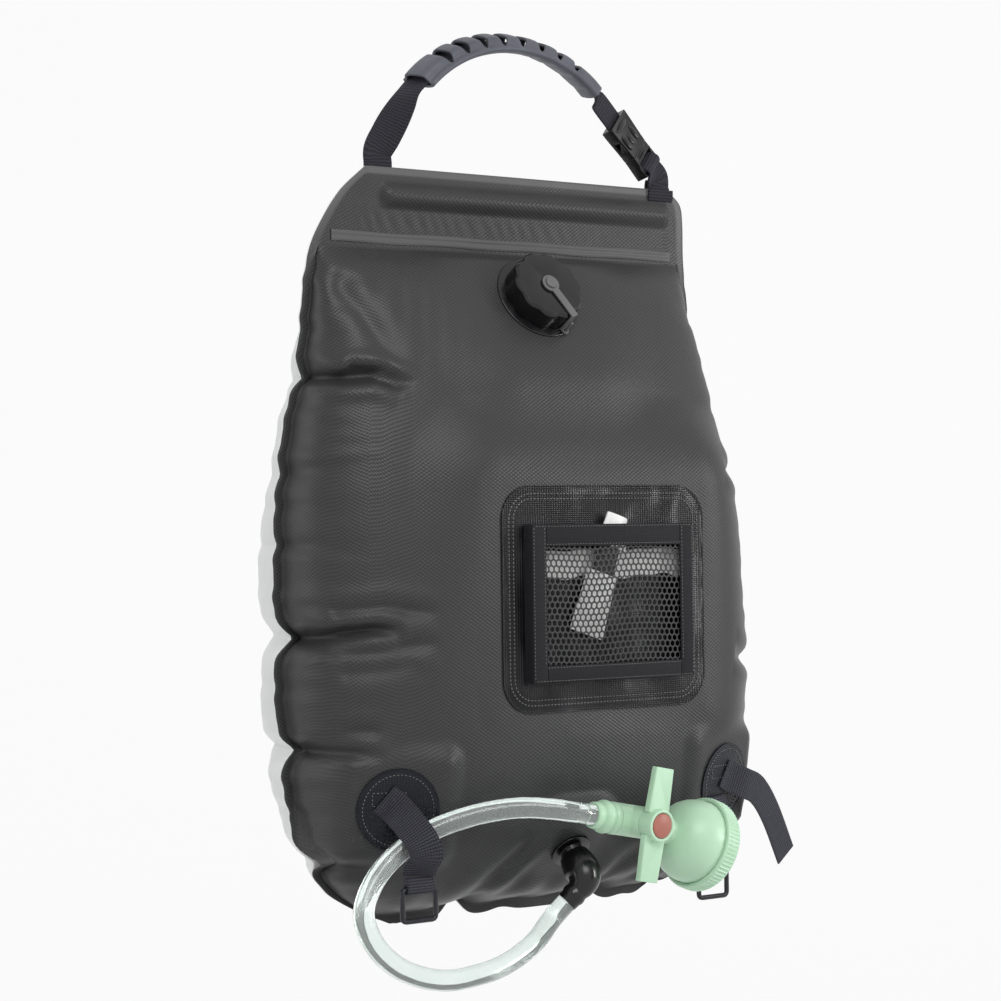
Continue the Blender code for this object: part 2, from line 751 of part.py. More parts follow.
def make_tether_post(seat_here):
    angle = math.radians(TETHER_ANGLE)
    x, y = POST_PLACE * math.cos(angle), POST_PLACE * math.sin(angle)
    post = disc(POST_RADIUS, FLANGE_TOP + GAP, FLANGE_TOP + POST_HEIGHT, 8)
    finish("tether_post", moved(post, Matrix.Translation((x, y, 0))), GLOSS_BLACK, seat_here)


def make_cap(cap_turn):
    skirt_low = FLANGE_TOP + SKIRT_CLEARANCE
    outline = lobed(CAP_RADIUS, CAP_LOBE, CAP_LOBES, CAP_LOBES * 6)
    top_share = (CAP_RADIUS - CAP_CHAMFER) / CAP_RADIUS
    sections = [[Vector((x, y, skirt_low)) for x, y in outline]]
    sections.append([Vector((x, y, CAP_OUTER_TOP - CAP_CHAMFER)) for x, y in outline])
    sections.append([Vector((x * top_share, y * top_share, CAP_OUTER_TOP)) for x, y in outline])
    cap = finish("filler_cap", swept(sections), GLOSS_BLACK, cap_turn)
    cut(cap, disc(CAP_BORE, skirt_low - OVERRUN, CAP_INNER_TOP, 32))
    cut(cap, disc(RIVET_RADIUS + GAP, CAP_OUTER_TOP - RIVET_SINK, CAP_OUTER_TOP + OVERRUN, 12))
    seal = ring(NECK_RADIUS - SEAL_WIDTH, CAP_BORE - GAP, SEAL_LOW, SEAL_LOW + SEAL_THICKNESS, 32)
    finish("cap_seal", seal, SEAL_RUBBER, cap_turn)
    head_low = TETHER_HIGH + GAP
    head_high = head_low + RIVET_HEAD_HEIGHT
    stem_low = CAP_OUTER_TOP - RIVET_SINK + GAP
    rivet = turned(
        [
            (0, stem_low), (RIVET_RADIUS, stem_low), (RIVET_RADIUS, head_low),
            (RIVET_HEAD_RADIUS, head_low), (RIVET_HEAD_RADIUS * RIVET_FACE_SHARE, head_high),
            (0, head_high),
        ],
        12,
    )
    finish("tether_rivet", rivet, TETHER_GREY, cap_turn)


def make_tether(cap_lift):
    """An eye over the cap, a strap to the rim and down the side, and an eye round the flange's post."""
    turn = Matrix.Rotation(math.radians(TETHER_ANGLE), 4, "Z")
    half = TETHER_WIDTH / 2
    outline = [
        (0, TETHER_LOW), (SIDE_IN, TETHER_LOW), (SIDE_IN, FOOT_LOW + TETHER_THICKNESS),
        (SIDE_IN, FOOT_LOW), (POST_PLACE, FOOT_LOW), (POST_PLACE, FOOT_LOW + TETHER_THICKNESS),
        (SIDE_OUT, FOOT_LOW + TETHER_THICKNESS), (SIDE_OUT, TETHER_HIGH - TETHER_THICKNESS / 2),
        (SIDE_OUT - TETHER_THICKNESS / 2, TETHER_HIGH), (0, TETHER_HIGH),
    ]
    sections = [[Vector((x, y, z)) for x, z in outline] for y in (-half, half)]
    tether = finish("cap_tether", moved(swept(sections), turn), TETHER_GREY, cap_lift)
    join(tether, disc(EYE_RADIUS, TETHER_LOW, TETHER_HIGH, 20))
    foot = disc(POST_RING_RADIUS, FOOT_LOW, FOOT_LOW + TETHER_THICKNESS, 12)
    join(tether, moved(foot, turn @ Matrix.Translation((POST_PLACE, 0, 0))))
    cut(tether, disc(EYE_BORE, TETHER_LOW - OVERRUN, TETHER_HIGH + OVERRUN, 12))
    hole = disc(POST_RADIUS + GAP, FOOT_LOW - OVERRUN, FOOT_LOW + OVERRUN, 8)
    cut(tether, moved(hole, turn @ Matrix.Translation((POST_PLACE, 0, 0))))


# Pocket: local X is to the right, Y is up and Z stands off the patch

PATCH_TOP = GAP + PATCH_THICKNESS
WALL_LOW = PATCH_TOP + GAP
FRONT_LOW = WALL_LOW + POCKET_ROOM
FRONT_HIGH = FRONT_LOW + TAPE_THICKNESS


def make_pocket(seat_here):
    patch = prism(rounded_rectangle(PATCH_WIDTH, PATCH_HEIGHT, PATCH_CORNER, 5), GAP, PATCH_TOP)
    finish("pocket_patch", patch, PATCH_BLACK, seat_here)
    left, right = -POCKET_WIDTH / 2, POCKET_WIDTH / 2
    low = -POCKET_DROP - POCKET_HEIGHT / 2
    high = -POCKET_DROP + POCKET_HEIGHT / 2
    for name, outer, side in (("pocket_side_left", left, 1), ("pocket_side_right", right, -1)):
        outline = [
            (outer, WALL_LOW), (outer, FRONT_HIGH), (outer + side * TAPE_WIDTH, FRONT_HIGH),
            (outer + side * TAPE_WIDTH, FRONT_LOW), (outer + side * TAPE_THICKNESS, FRONT_LOW),
            (outer + side * TAPE_THICKNESS, WALL_LOW),
        ]
        sections = [[Vector((x, y, z)) for x, z in outline] for y in (low, high)]
        finish(name, swept(sections), WEBBING_BLACK, seat_here)
    inner = POCKET_WIDTH / 2 - TAPE_WIDTH - GAP
    outline = [
        (low, WALL_LOW), (low, FRONT_HIGH), (low + TAPE_WIDTH, FRONT_HIGH), (low + TAPE_WIDTH, FRONT_LOW),
        (low + TAPE_THICKNESS, FRONT_LOW), (low + TAPE_THICKNESS, WALL_LOW),
    ]
    sections = [[Vector((x, y, z)) for y, z in outline] for x in (-inner, inner)]
    finish("pocket_bottom_tape", swept(sections), WEBBING_BLACK, seat_here)
    hem = block((-inner, high - HEM_HEIGHT, FRONT_LOW), (inner, high, FRONT_HIGH))
    finish("pocket_hem", hem, WEBBING_BLACK, seat_here)
    make_net(inner, low + TAPE_WIDTH, high - HEM_HEIGHT, seat_here)
    band_low = BAND_UP - POCKET_DROP - BAND_HEIGHT / 2
    band_half = POCKET_WIDTH / 2 - TAPE_THICKNESS - GAP
    band = block(
        (-band_half, band_low, WALL_LOW),
        (band_half, band_low + BAND_HEIGHT, WALL_LOW + BAND_THICKNESS),
    )
    finish("pocket_band", band, WHITE_SHEET, seat_here)


def make_net(half, low, high, seat_here):
    """A flat net behind the tapes: one sheet with rows of six-sided gaps, each row half a gap along."""
    mesh = bmesh.new()
    border = rectangle(2 * (half + NET_OVERLAP), high - low + 2 * NET_OVERLAP, 0, (low + high) / 2)
    loops = [border]
    pitch_x = 2 * half / (NET_COLUMNS + 0.5)
    pitch_y = (high - low) / (NET_ROWS + 0.5)
    gap_x, gap_y = pitch_x - NET_STRAND, pitch_y * 4 / 3 - NET_STRAND
    for row in range(NET_ROWS):
        for column in range(NET_COLUMNS):
            x = -half + pitch_x * (column + 0.5 + (row % 2) / 2)
            y = low + pitch_y * (row + 0.75)
            loops.append(
                [
                    (x, y - gap_y / 2), (x + gap_x / 2, y - gap_y / 4), (x + gap_x / 2, y + gap_y / 4),
                    (x, y + gap_y / 2), (x - gap_x / 2, y + gap_y / 4), (x - gap_x / 2, y - gap_y / 4),
                ]
            )
    edges = []
    for loop in loops:
        verts = [mesh.verts.new((x, y, FRONT_LOW - GAP)) for x, y in loop]
        edges += [mesh.edges.new((a, b)) for a, b in zip(verts, verts[1:] + verts[:1])]
    bmesh.ops.triangle_fill(mesh, use_beauty=True, edges=edges, normal=Z_AXIS)
    sheet = list(mesh.faces)
    made = bmesh.ops.extrude_face_region(mesh, geom=sheet)
    verts = [item for item in made["geom"] if isinstance(item, bmesh.types.BMVert)]
    bmesh.ops.translate(mesh, verts=verts, vec=(0, 0, -NET_THICKNESS))
    finish("pocket_net", mesh, NET_BLACK, seat_here)


def make_stowed_tube(lift):
    """A small squeeze tube that stands in the pocket, along local Y with its neck at the origin."""
    low = WALL_LOW + BAND_THICKNESS + GAP
    middle = low + TUBE_THICKNESS / 2
    sections = []
    for share in TUBE_PLACES_SHARES:
        half_x = TUBE_WIDTH / 2 * (1 - (1 - TUBE_SHOULDER_SHARE) * share)
        fill = math.sin(share * math.pi / 2)
        half_z = TUBE_THICKNESS / 2 * (TUBE_TAIL_SHARE + (1 - TUBE_TAIL_SHARE) * fill)
        section = []
        for step in range(16):
            angle = FULL_TURN * step / 16
            x, z = half_x * math.cos(angle), middle + half_z * math.sin(angle)
            section.append(Vector((x, TUBE_LENGTH * (share - 1), z)))
        sections.append(section)
    finish("stowed_tube", swept(sections), WHITE_PLASTIC, lift)
    along = Matrix.Rotation(-math.pi / 2, 4, "X")
    flat_share = TUBE_THICKNESS / NECKBAND_WIDTH
    squash = Matrix.Diagonal((1, flat_share, 1, 1))
    place = Matrix.Translation((0, 0, middle)) @ along @ squash
    band = disc(NECKBAND_WIDTH / 2, GAP, NECKBAND_LENGTH, 16)
    finish("stowed_tube_neck", moved(band, place), GLOSS_BLACK, lift)
    cap_low = NECKBAND_LENGTH + GAP
    cap_flat_share = TUBE_THICKNESS / TUBE_CAP_FLANGE
    squash = Matrix.Diagonal((1, cap_flat_share, 1, 1))
    place = Matrix.Translation((0, 0, middle)) @ along @ squash
    cap_high = cap_low + TUBE_CAP_LENGTH
    flange, side = TUBE_CAP_FLANGE / 2, TUBE_CAP_WIDTH / 2
    cap = turned(
        [
            (0, cap_low), (flange, cap_low), (flange, cap_low + TUBE_CAP_FLANGE_LENGTH),
            (side, cap_low + TUBE_CAP_SHOULDER_LENGTH), (side * TUBE_CAP_FACE_SHARE, cap_high),
            (0, cap_high),
        ],
        16,
    )
    finish("stowed_tube_cap", moved(cap, place), WHITE_PLASTIC, lift)


# Lower anchors: local Z stands off the patch

def strap_points(shares, thickness_clear):
    """A strap's route in local places. Each row is right, up and off, in webbing widths."""
    points = [Vector((x, y, z)) * WEBBING_WIDTH for x, y, z in shares]
    for point in points:
        point.z += ANCHOR_THICKNESS + 2 * GAP + thickness_clear
    return points


def make_anchor(name, seat_here):
    patch = disc(ANCHOR_RADIUS, GAP, GAP + ANCHOR_THICKNESS, 28)
    finish(f"{name}_anchor_patch", patch, PATCH_BLACK, seat_here)


def make_strap(name, shares, count, seat_here):
    points = smooth_route(strap_points(shares, WEBBING_THICKNESS / 2), count)
    strap = ribbon(stations_along(points, [Z_AXIS] * count), WEBBING_WIDTH, WEBBING_THICKNESS)
    finish(name, strap, WEBBING_BLACK, seat_here)
    return points[-1]


def make_ring(name, swing):
    """A rounded rectangular ring that hangs from its upper bar, which is the origin."""
    corner = RING_CORNER
    outline = rounded_rectangle(RING_WIDTH - 2 * RING_BAR, RING_HEIGHT - 2 * RING_BAR, corner, 3)
    middle = -(RING_HEIGHT / 2 - RING_BAR)
    sections = []
    for index, (x, z) in enumerate(outline):
        before, after = outline[index - 1], outline[(index + 1) % len(outline)]
        along = Vector((after[0] - before[0], 0, after[1] - before[1])).normalized()
        side = along.cross(Y_AXIS)
        section = []
        for step in range(8):
            angle = FULL_TURN * (step + 0.5) / 8
            off = side * math.cos(angle) + Y_AXIS * math.sin(angle)
            section.append(Vector((x, 0, z + middle)) + off * RING_BAR)
        sections.append(section)
    finish(name, swept(sections, closed=True), RING_BLACK, swing)


def make_ring_loop(name, swing):
    """The webbing's end, sewn back on itself round the ring's bar. The origin is the bar's axis."""
    inner = RING_BAR + RING_LOOP_CLEARANCE
    outer = inner + WEBBING_THICKNESS
    steps = 12
    outline = []
    for step in range(steps + 1):
        angle = math.pi + math.pi * step / steps
        outline.append((outer * math.cos(angle), outer * math.sin(angle)))
    top = 2 * outer
    outline += [(outer, inner), (WEBBING_THICKNESS, top), (-WEBBING_THICKNESS, top), (-outer, inner)]
    half = RING_WIDTH / 2 - RING_BAR - RING_CORNER
    sections = [[Vector((x, y, z)) for y, z in outline] for x in (-half, half)]
    loop = finish(name, swept(sections), WEBBING_BLACK, swing)
    bore = disc(inner, -half - OVERRUN, half + OVERRUN, 12)
    cut(loop, moved(bore, Matrix.Rotation(math.pi / 2, 4, "Y")))
    return loop


# Outlet: local Z stands off the panel, and the waterway goes through it

OUTLET_TOP = GAP + OUTLET_FLANGE_THICKNESS
COLLAR_TOP = OUTLET_TOP + OUTLET_COLLAR_HEIGHT
INNER_FACE = -(PANEL_WALL + GAP)


def make_outlet(seat_here):
    profile = [
        (WATERWAY_RADIUS, -OUTLET_STEM_LENGTH), (OUTLET_STEM_RADIUS, -OUTLET_STEM_LENGTH),
        (OUTLET_STEM_RADIUS, GAP), (OUTLET_FLANGE_RADIUS, GAP), (OUTLET_FLANGE_RADIUS, OUTLET_TOP),
        (OUTLET_COLLAR_RADIUS, OUTLET_TOP), (OUTLET_COLLAR_RADIUS, COLLAR_TOP),
        (WATERWAY_RADIUS, COLLAR_TOP),
    ]
    finish("outlet_flange", turned(profile, 24), GLOSS_BLACK, seat_here)
    seal_low = INNER_FACE - OUTLET_SEAL_THICKNESS
    seal = ring(OUTLET_STEM_RADIUS + GAP, OUTLET_SEAL_RADIUS, seal_low, INNER_FACE, 24)
    finish("outlet_seal", seal, SEAL_RUBBER, seat_here)
    nut = prism(
        [
            (NUT_RADIUS * math.cos(FULL_TURN * step / 6), NUT_RADIUS * math.sin(FULL_TURN * step / 6))
            for step in range(6)
        ],
        seal_low - GAP - NUT_HEIGHT,
        seal_low - GAP,
    )
    nut = finish("outlet_nut", nut, GLOSS_BLACK, seat_here)
    cut(nut, disc(OUTLET_STEM_RADIUS + GAP, seal_low - NUT_HEIGHT - OVERRUN, seal_low + OVERRUN, 24))


def pipe(path, radii, steps):
    """A round rod along a path, with a radius for each of its points."""
    sections = []
    side = None
    for index, point in enumerate(path):
        before, after = path[max(index - 1, 0)], path[min(index + 1, len(path) - 1)]
        along = (after - before).normalized()
        if side is None:
            side = along.orthogonal().normalized()
        side = (side - along * side.dot(along)).normalized()
        across = along.cross(side)
        section = []
        for step in range(steps):
            angle = FULL_TURN * step / steps
            section.append(point + (side * math.cos(angle) + across * math.sin(angle)) * radii[index])
        sections.append(section)
    return swept(sections)


def elbow_path(seat_matrix):
    """The elbow's middle line: out along the outlet, round the bend and along the neck."""
    out = (seat_matrix.to_3x3() @ Z_AXIS).normalized()
    neck = Vector(ELBOW_NECK_DIRECTION).normalized()
    start = seat_matrix @ Vector((0, 0, COLLAR_TOP + GAP))
    corner = start + out * ELBOW_ARM
    path = [start, start.lerp(corner - out * ELBOW_BEND, 0.5)]
    first, last = corner - out * ELBOW_BEND, corner + neck * ELBOW_BEND
    steps = 6
    for step in range(steps + 1):
        t = step / steps
        path.append(first.lerp(corner, t).lerp(corner.lerp(last, t), t))
    path.append(last + neck * ELBOW_NECK / 2)
    path.append(last + neck * ELBOW_NECK)
    return path, neck


def make_elbow(seat_matrix, bag):
    path, neck = elbow_path(seat_matrix)
    radii = [OUTLET_COLLAR_RADIUS] + [ELBOW_RADIUS] * (len(path) - 2) + [HOSE_RADIUS + GAP]
    elbow = finish("outlet_elbow", pipe(path, radii, 16), GLOSS_BLACK, bag)
    first = path[0] - (path[1] - path[0]).normalized() * OVERRUN
    bore = [first, *path, path[-1] + neck * OVERRUN]
    cut(elbow, pipe(bore, [WATERWAY_RADIUS] * len(bore), 12))
    return path[-1], neck


def make_hose(start, neck, end, direction, bag):
    """The clear hose from the elbow to the shower head, as a round tube along a smooth curve."""
    route = [start + neck * GAP, start + neck * (GAP + 2 * HOSE_RADIUS)]
    route += [Vector(point) for point in HOSE_ROUTE]
    route += [end - direction * (GAP + 2 * HOSE_RADIUS), end - direction * GAP]
    points = smooth_route(route, HOSE_POINTS)
    points[1] = points[0] + neck * (points[1] - points[0]).length
    points[-2] = points[-1] - direction * (points[-1] - points[-2]).length
    curve = bpy.data.curves.new("hose", "CURVE")
    curve.dimensions = "3D"
    curve.bevel_depth = HOSE_RADIUS
    curve.bevel_resolution = 2
    curve.use_fill_caps = True
    spline = curve.splines.new("POLY")
    spline.points.add(len(points) - 1)
    for place, point in zip(spline.points, points):
        place.co = (*point, 1)
    hose = bpy.data.objects.new("hose", curve)
    bpy.context.collection.objects.link(hose)
    hose.parent = bag
    curve.materials.append(material_for("hose", HOSE_CLEAR))
    length = sum((b - a).length for a, b in zip(points, points[1:]))
    print(f"hose length {length:.3f} m")


# Shower head: local X is the flow, Z is the valve handle's axis and Y is up

def head_matrix():
    flow = Vector(HEAD_DIRECTION).normalized()
    boss = (-Y_AXIS + flow * flow.y).normalized()
    up = boss.cross(flow)
    matrix = Matrix((flow, up, boss)).transposed().to_4x4()
    matrix.translation = Vector(HEAD_PLACE)
    return matrix, flow


ALONG_X = Matrix.Rotation(math.pi / 2, 4, "Y")
FERRULE_END = VALVE_HALF_LENGTH + GAP + FERRULE_LENGTH
HANDLE_LOW = BOSS_HEIGHT + GAP
HANDLE_HIGH = HANDLE_LOW + HUB_HEIGHT


def make_head(head):
    end = VALVE_HALF_LENGTH + GAP
    ferrule = turned(
        [
            (WATERWAY_RADIUS, -FERRULE_END), (FERRULE_RADIUS, -FERRULE_END),
            (FERRULE_RADIUS, -end - COLLAR_TAPER_START), (VALVE_RADIUS, -end - COLLAR_LENGTH),
            (VALVE_RADIUS, -end), (WATERWAY_RADIUS, -end),
        ],
        20,
    )
    finish("hose_ferrule", moved(ferrule, ALONG_X), MINT, head)
    barrel = disc(VALVE_RADIUS, -VALVE_HALF_LENGTH, VALVE_HALF_LENGTH, 20)
    body = finish("valve_body", moved(barrel, ALONG_X), MINT, head)
    join(body, disc(BOSS_RADIUS, -VALVE_FLOOR - PANEL_WALL, BOSS_HEIGHT, 20))
    cut(body, disc(PLUG_RADIUS + RUNNING_GAP, -VALVE_FLOOR, BOSS_HEIGHT + OVERRUN, 20))
    way = disc(WATERWAY_RADIUS, -VALVE_HALF_LENGTH - OVERRUN, VALVE_HALF_LENGTH + OVERRUN, 12)
    cut(body, moved(way, ALONG_X))


def make_valve(valve_turn):
    top = HANDLE_HIGH - BUTTON_SINK - GAP
    plug = turned(
        [
            (0, -VALVE_FLOOR + GAP), (PLUG_RADIUS, -VALVE_FLOOR + GAP), (PLUG_RADIUS, BOSS_HEIGHT - GAP),
            (STEM_RADIUS, BOSS_HEIGHT - GAP), (STEM_RADIUS, top), (0, top),
        ],
        20,
    )
    plug = finish("valve_plug", plug, WHITE_PLASTIC, valve_turn)
    way = disc(WATERWAY_RADIUS, -PLUG_RADIUS - OVERRUN, PLUG_RADIUS + OVERRUN, 12)
    cut(plug, moved(way, Matrix.Rotation(math.pi / 2, 4, "X")))
    recess = HANDLE_HIGH - BUTTON_SINK
    hub = turned(
        [
            (STEM_RADIUS + GAP, HANDLE_LOW), (HUB_RADIUS, HANDLE_LOW), (HUB_RADIUS, HANDLE_HIGH),
            (BUTTON_RADIUS + GAP, HANDLE_HIGH), (BUTTON_RADIUS + GAP, recess),
            (STEM_RADIUS + GAP, recess),
        ],
        20,
    )
    handle = finish("valve_handle", hub, MINT, valve_turn)
    wing_low = HANDLE_LOW + WING_RISE
    half, tip = WING_WIDTH / 2, WING_WIDTH / 2 * WING_TAPER_SHARE
    root = (STEM_RADIUS + HUB_RADIUS) / 2
    for side in (-1, 1):
        start, end = side * root, side * WING_SPAN / 2
        outline = [(-half, start), (-tip, end), (tip, end), (half, start)]
        join(handle, prism(outline, wing_low, wing_low + WING_THICKNESS))
    button_low, button_high = HANDLE_HIGH - BUTTON_SINK + GAP, HANDLE_HIGH + BUTTON_PROUD
    button = turned(
        [
            (0, button_low), (BUTTON_RADIUS, button_low), (BUTTON_RADIUS, HANDLE_HIGH),
            (BUTTON_RADIUS * BUTTON_FACE_SHARE, button_high), (0, button_high),
        ],
        20,
    )
    finish("valve_button", button, SALMON, valve_turn)


# Dome and rose: local Z is the spray's direction, and the origin is where the dome's neck bends

DOME_START = DOME_NECK_RADIUS * math.sin(math.radians(HEAD_BEND)) + GAP
BOWL_START = DOME_NECK_LENGTH
BOWL_END = BOWL_START + DOME_LENGTH
LIP_END = BOWL_END + DOME_LIP
SEAL_START = LIP_END + GAP
PLATE_START = SEAL_START + ROSE_SEAL_THICKNESS + GAP
FACE_START = PLATE_START + SPRAY_THICKNESS + GAP
FACE_END = FACE_START + ROSE_FACE


def dome_outline(radius, neck, start):
    """The bowl's curve from the neck to the lip, as (radius, height)."""
    steps = 7
    points = []
    for step in range(steps + 1):
        angle = math.pi / 2 * step / steps
        height = start + DOME_LENGTH * (1 - math.cos(angle))
        points.append((neck + (radius - neck) * math.sin(angle), height))
    return points


def make_dome(dome_seat):
    outer = dome_outline(DOME_RADIUS, DOME_NECK_RADIUS, BOWL_START)
    inner = dome_outline(DOME_RADIUS - DOME_WALL, WATERWAY_RADIUS, BOWL_START + DOME_WALL)
    profile = [(WATERWAY_RADIUS, DOME_START), (DOME_NECK_RADIUS, DOME_START), *outer]
    profile += [(DOME_RADIUS, LIP_END), (DOME_RADIUS - DOME_WALL, LIP_END), *reversed(inner)]
    finish("head_dome", turned(profile, 28), MINT, dome_seat)


def make_rose(rose_lift, rose_turn):
    """The spray plate and its seal, and the ribbed ring that screws onto the dome and holds them."""
    bore = DOME_RADIUS + RUNNING_GAP
    start = FACE_END - ROSE_WIDTH
    steps = ROSE_RIBS * 4
    outline = []
    for step in range(steps):
        raised = ROSE_RIB_RISE if step % 4 in (1, 2) else 0
        angle = FULL_TURN * step / steps
        radius = ROSE_RADIUS + raised
        outline.append((radius * math.cos(angle), radius * math.sin(angle)))
    rose = finish("rose_ring", prism(outline, start, FACE_END), MINT, rose_turn)
    cut(rose, disc(bore, start - OVERRUN, FACE_START, 28))
    cut(rose, disc(DOME_RADIUS - ROSE_LIP, start - OVERRUN, FACE_END + OVERRUN, 28))
    rim = DOME_RADIUS - GAP
    plate = disc(rim, PLATE_START, PLATE_START + SPRAY_THICKNESS, 28)
    plate = finish("spray_plate", plate, MINT, rose_lift)
    holes = bmesh.new()
    reach = DOME_RADIUS - ROSE_LIP
    for share, count in SPRAY_RINGS_SHARES:
        for index in range(count):
            turn = Matrix.Rotation(FULL_TURN * index / count, 4, "Z")
            place = turn @ Matrix.Translation((reach * share, 0, PLATE_START))
            bmesh.ops.create_cone(
                holes, cap_ends=True, segments=6, radius1=SPRAY_HOLE, radius2=SPRAY_HOLE,
                depth=OVERRUN * 2, matrix=place
            )
    cut(plate, holes)
    seal = ring(DOME_RADIUS - DOME_WALL, rim, SEAL_START, SEAL_START + ROSE_SEAL_THICKNESS, 28)
    finish("rose_seal", seal, SEAL_RUBBER, rose_lift)


# Grip and handle strap

def arch_point(angle):
    """A place on the webbing's arch, its direction and its outward normal. Angles run left to right."""
    out = Vector((math.sin(angle), 0, math.cos(angle)))
    along = Vector((math.cos(angle), 0, -math.sin(angle)))
    middle = GRIP_BELOW * math.cos(math.radians(GRIP_TWIST)) - ARCH_RADIUS
    centre = Vector((0, 0, middle)) + out * ARCH_RADIUS
    return centre, along, out


def twisted(out, along, degrees):
    """Turns an outward normal towards the front, about the webbing's own direction."""
    front = (-Y_AXIS - along * along.dot(-Y_AXIS)).normalized()
    angle = math.radians(degrees)
    return (out * math.cos(angle) + front * math.sin(angle)).normalized()


def make_grip(root):
    left, right = -math.radians(ARCH_LEFT_ANGLE), math.radians(ARCH_RIGHT_ANGLE)
    sections = []
    cores = []
    half = WEBBING_WIDTH / 2 + CHANNEL_CLEARANCE
    deep = WEBBING_THICKNESS / 2 + CHANNEL_CLEARANCE
    spill = OVERRUN / ARCH_RADIUS
    for step in range(ARCH_STEPS + 1):
        angle = left + (right - left) * step / ARCH_STEPS
        centre, along, out = arch_point(angle)
        normal = twisted(out, along, GRIP_TWIST)
        side = normal.cross(along)
        section = []
        for x, z in GRIP_OUTLINE_SHARES:
            rise = z * (GRIP_ABOVE if z > 0 else GRIP_BELOW)
            section.append(centre + side * (x * GRIP_HALF_WIDTH) + normal * rise)
        sections.append(section)
        if step == 0:
            angle -= spill
        if step == ARCH_STEPS:
            angle += spill
        centre, along, out = arch_point(angle)
        normal = twisted(out, along, GRIP_TWIST)
        side = normal.cross(along)
        corners = ((-half, -deep), (half, -deep), (half, deep), (-half, deep))
        cores.append([centre + side * x + normal * z for x, z in corners])
    grip = finish("grip_shell", swept(sections), GRIP_SLATE, root)
    cut(grip, swept(cores))
    slots = bmesh.new()
    middle = (left + right) / 2
    for index in range(GRIP_SLOTS):
        angle = middle + (index - (GRIP_SLOTS - 1) / 2) * SLOT_PITCH / (ARCH_RADIUS + GRIP_ABOVE)
        centre, along, out = arch_point(angle)
        normal = twisted(out, along, GRIP_TWIST)
        turn = Matrix((along, normal.cross(along), normal)).transposed().to_4x4()
        turn.translation = centre
        half_slot = SLOT_SPAN_SHARE * GRIP_HALF_WIDTH / 2
        outline = rounded_rectangle(SLOT_LENGTH, 2 * half_slot, SLOT_LENGTH / 3, 2)
        slot = moved(prism(outline, 0, GRIP_ABOVE + OVERRUN), turn)
        data = bpy.data.meshes.new("slot")
        slot.to_mesh(data)
        slots.from_mesh(data)
        bpy.data.meshes.remove(data)
        slot.free()
    cut(grip, slots)


def buckle_matrix():
    """Local X runs down the buckle, Z is its face and Y its width. The origin is the socket's top."""
    angle = math.radians(BUCKLE_ANGLE)
    along = Vector((math.cos(angle), 0, -math.sin(angle)))
    out = Vector((math.sin(angle), 0, math.cos(angle)))
    normal = twisted(out, along, BUCKLE_TWIST)
    matrix = Matrix((along, normal.cross(along), normal)).transposed().to_4x4()
    matrix.translation = arch_point(math.radians(ARCH_RIGHT_ANGLE))[0] + along * BUCKLE_DROP
    return matrix


def make_handle_strap(root):
    """Webbing from above the left foot, through the grip, and down into the buckle's socket."""
    top = Vector((-FOOT_LEFT, HINGE_BACK, -HEADER_DROP + HINGE_RISE + WEBBING_THICKNESS / 2 + GAP))
    left, right = -math.radians(ARCH_LEFT_ANGLE), math.radians(ARCH_RIGHT_ANGLE)
    points, normals = [top], [-Y_AXIS]
    entry, entry_along, entry_out = arch_point(left)
    rise = entry - top
    straight = top + Z_AXIS * STRAP_RISE
    points.append(straight)
    normals.append(-Y_AXIS)
    lead = 4
    approach = entry - entry_along * STRAP_LEAD
    for step in range(1, lead):
        share = step / lead
        points.append(straight.lerp(approach, share))
        along = rise.normalized()
        out = Vector((-along.z, 0, along.x))
        normals.append(twisted(out, along, FOOT_TWIST + (GRIP_TWIST - FOOT_TWIST) * share))
    for point, along in ((approach, entry_along), (entry, entry_along)):
        points.append(point)
        normals.append(twisted(entry_out, entry_along, GRIP_TWIST))
    for step in range(1, ARCH_STEPS + 1):
        centre, along, out = arch_point(left + (right - left) * step / ARCH_STEPS)
        points.append(centre)
        normals.append(twisted(out, along, GRIP_TWIST))
    buckle = buckle_matrix()
    axis, face = buckle.to_3x3() @ X_AXIS, buckle.to_3x3() @ Z_AXIS
    exit_point, exit_along, exit_out = arch_point(right)
    lead_point = buckle @ Vector((-BUCKLE_LEAD, 0, 0))
    for share in TWIST_SHARES:
        points.append(exit_point.lerp(lead_point, share))
        normals.append(twisted(exit_out, exit_along, GRIP_TWIST + (BUCKLE_TWIST - GRIP_TWIST) * share))
    points += [lead_point, buckle @ Vector((SOCKET_BAR, 0, 0))]
    normals += [face, face]
    stations = stations_along(points, normals)
    stations[0] = (points[0], -Y_AXIS, Z_AXIS)
    stations[-2] = (points[-2], face, axis)
    finish("handle_strap", ribbon(stations, WEBBING_WIDTH, WEBBING_THICKNESS), WEBBING_BLACK, root)


PLUG_START = SOCKET_LENGTH + GAP
PLUG_END = PLUG_START + PLUG_BLOCK + PLUG_FRAME
ROOM_START = SOCKET_BAR + SOCKET_WALL


def buckle_outline(start, end, width):
    """The buckle's outline seen on its face, from its wide end to its waist."""
    half = width / 2
    waist = BUCKLE_WIDTH / width * PLUG_WAIST_SHARE
    steps = 6
    right = []
    for step in range(steps + 1):
        share = step / steps
        pinch = 1 - (1 - waist) * math.sin(share * math.pi / 2) ** 2
        right.append((start + (end - start) * share, half * pinch))
    return right + [(x, -y) for x, y in reversed(right)]


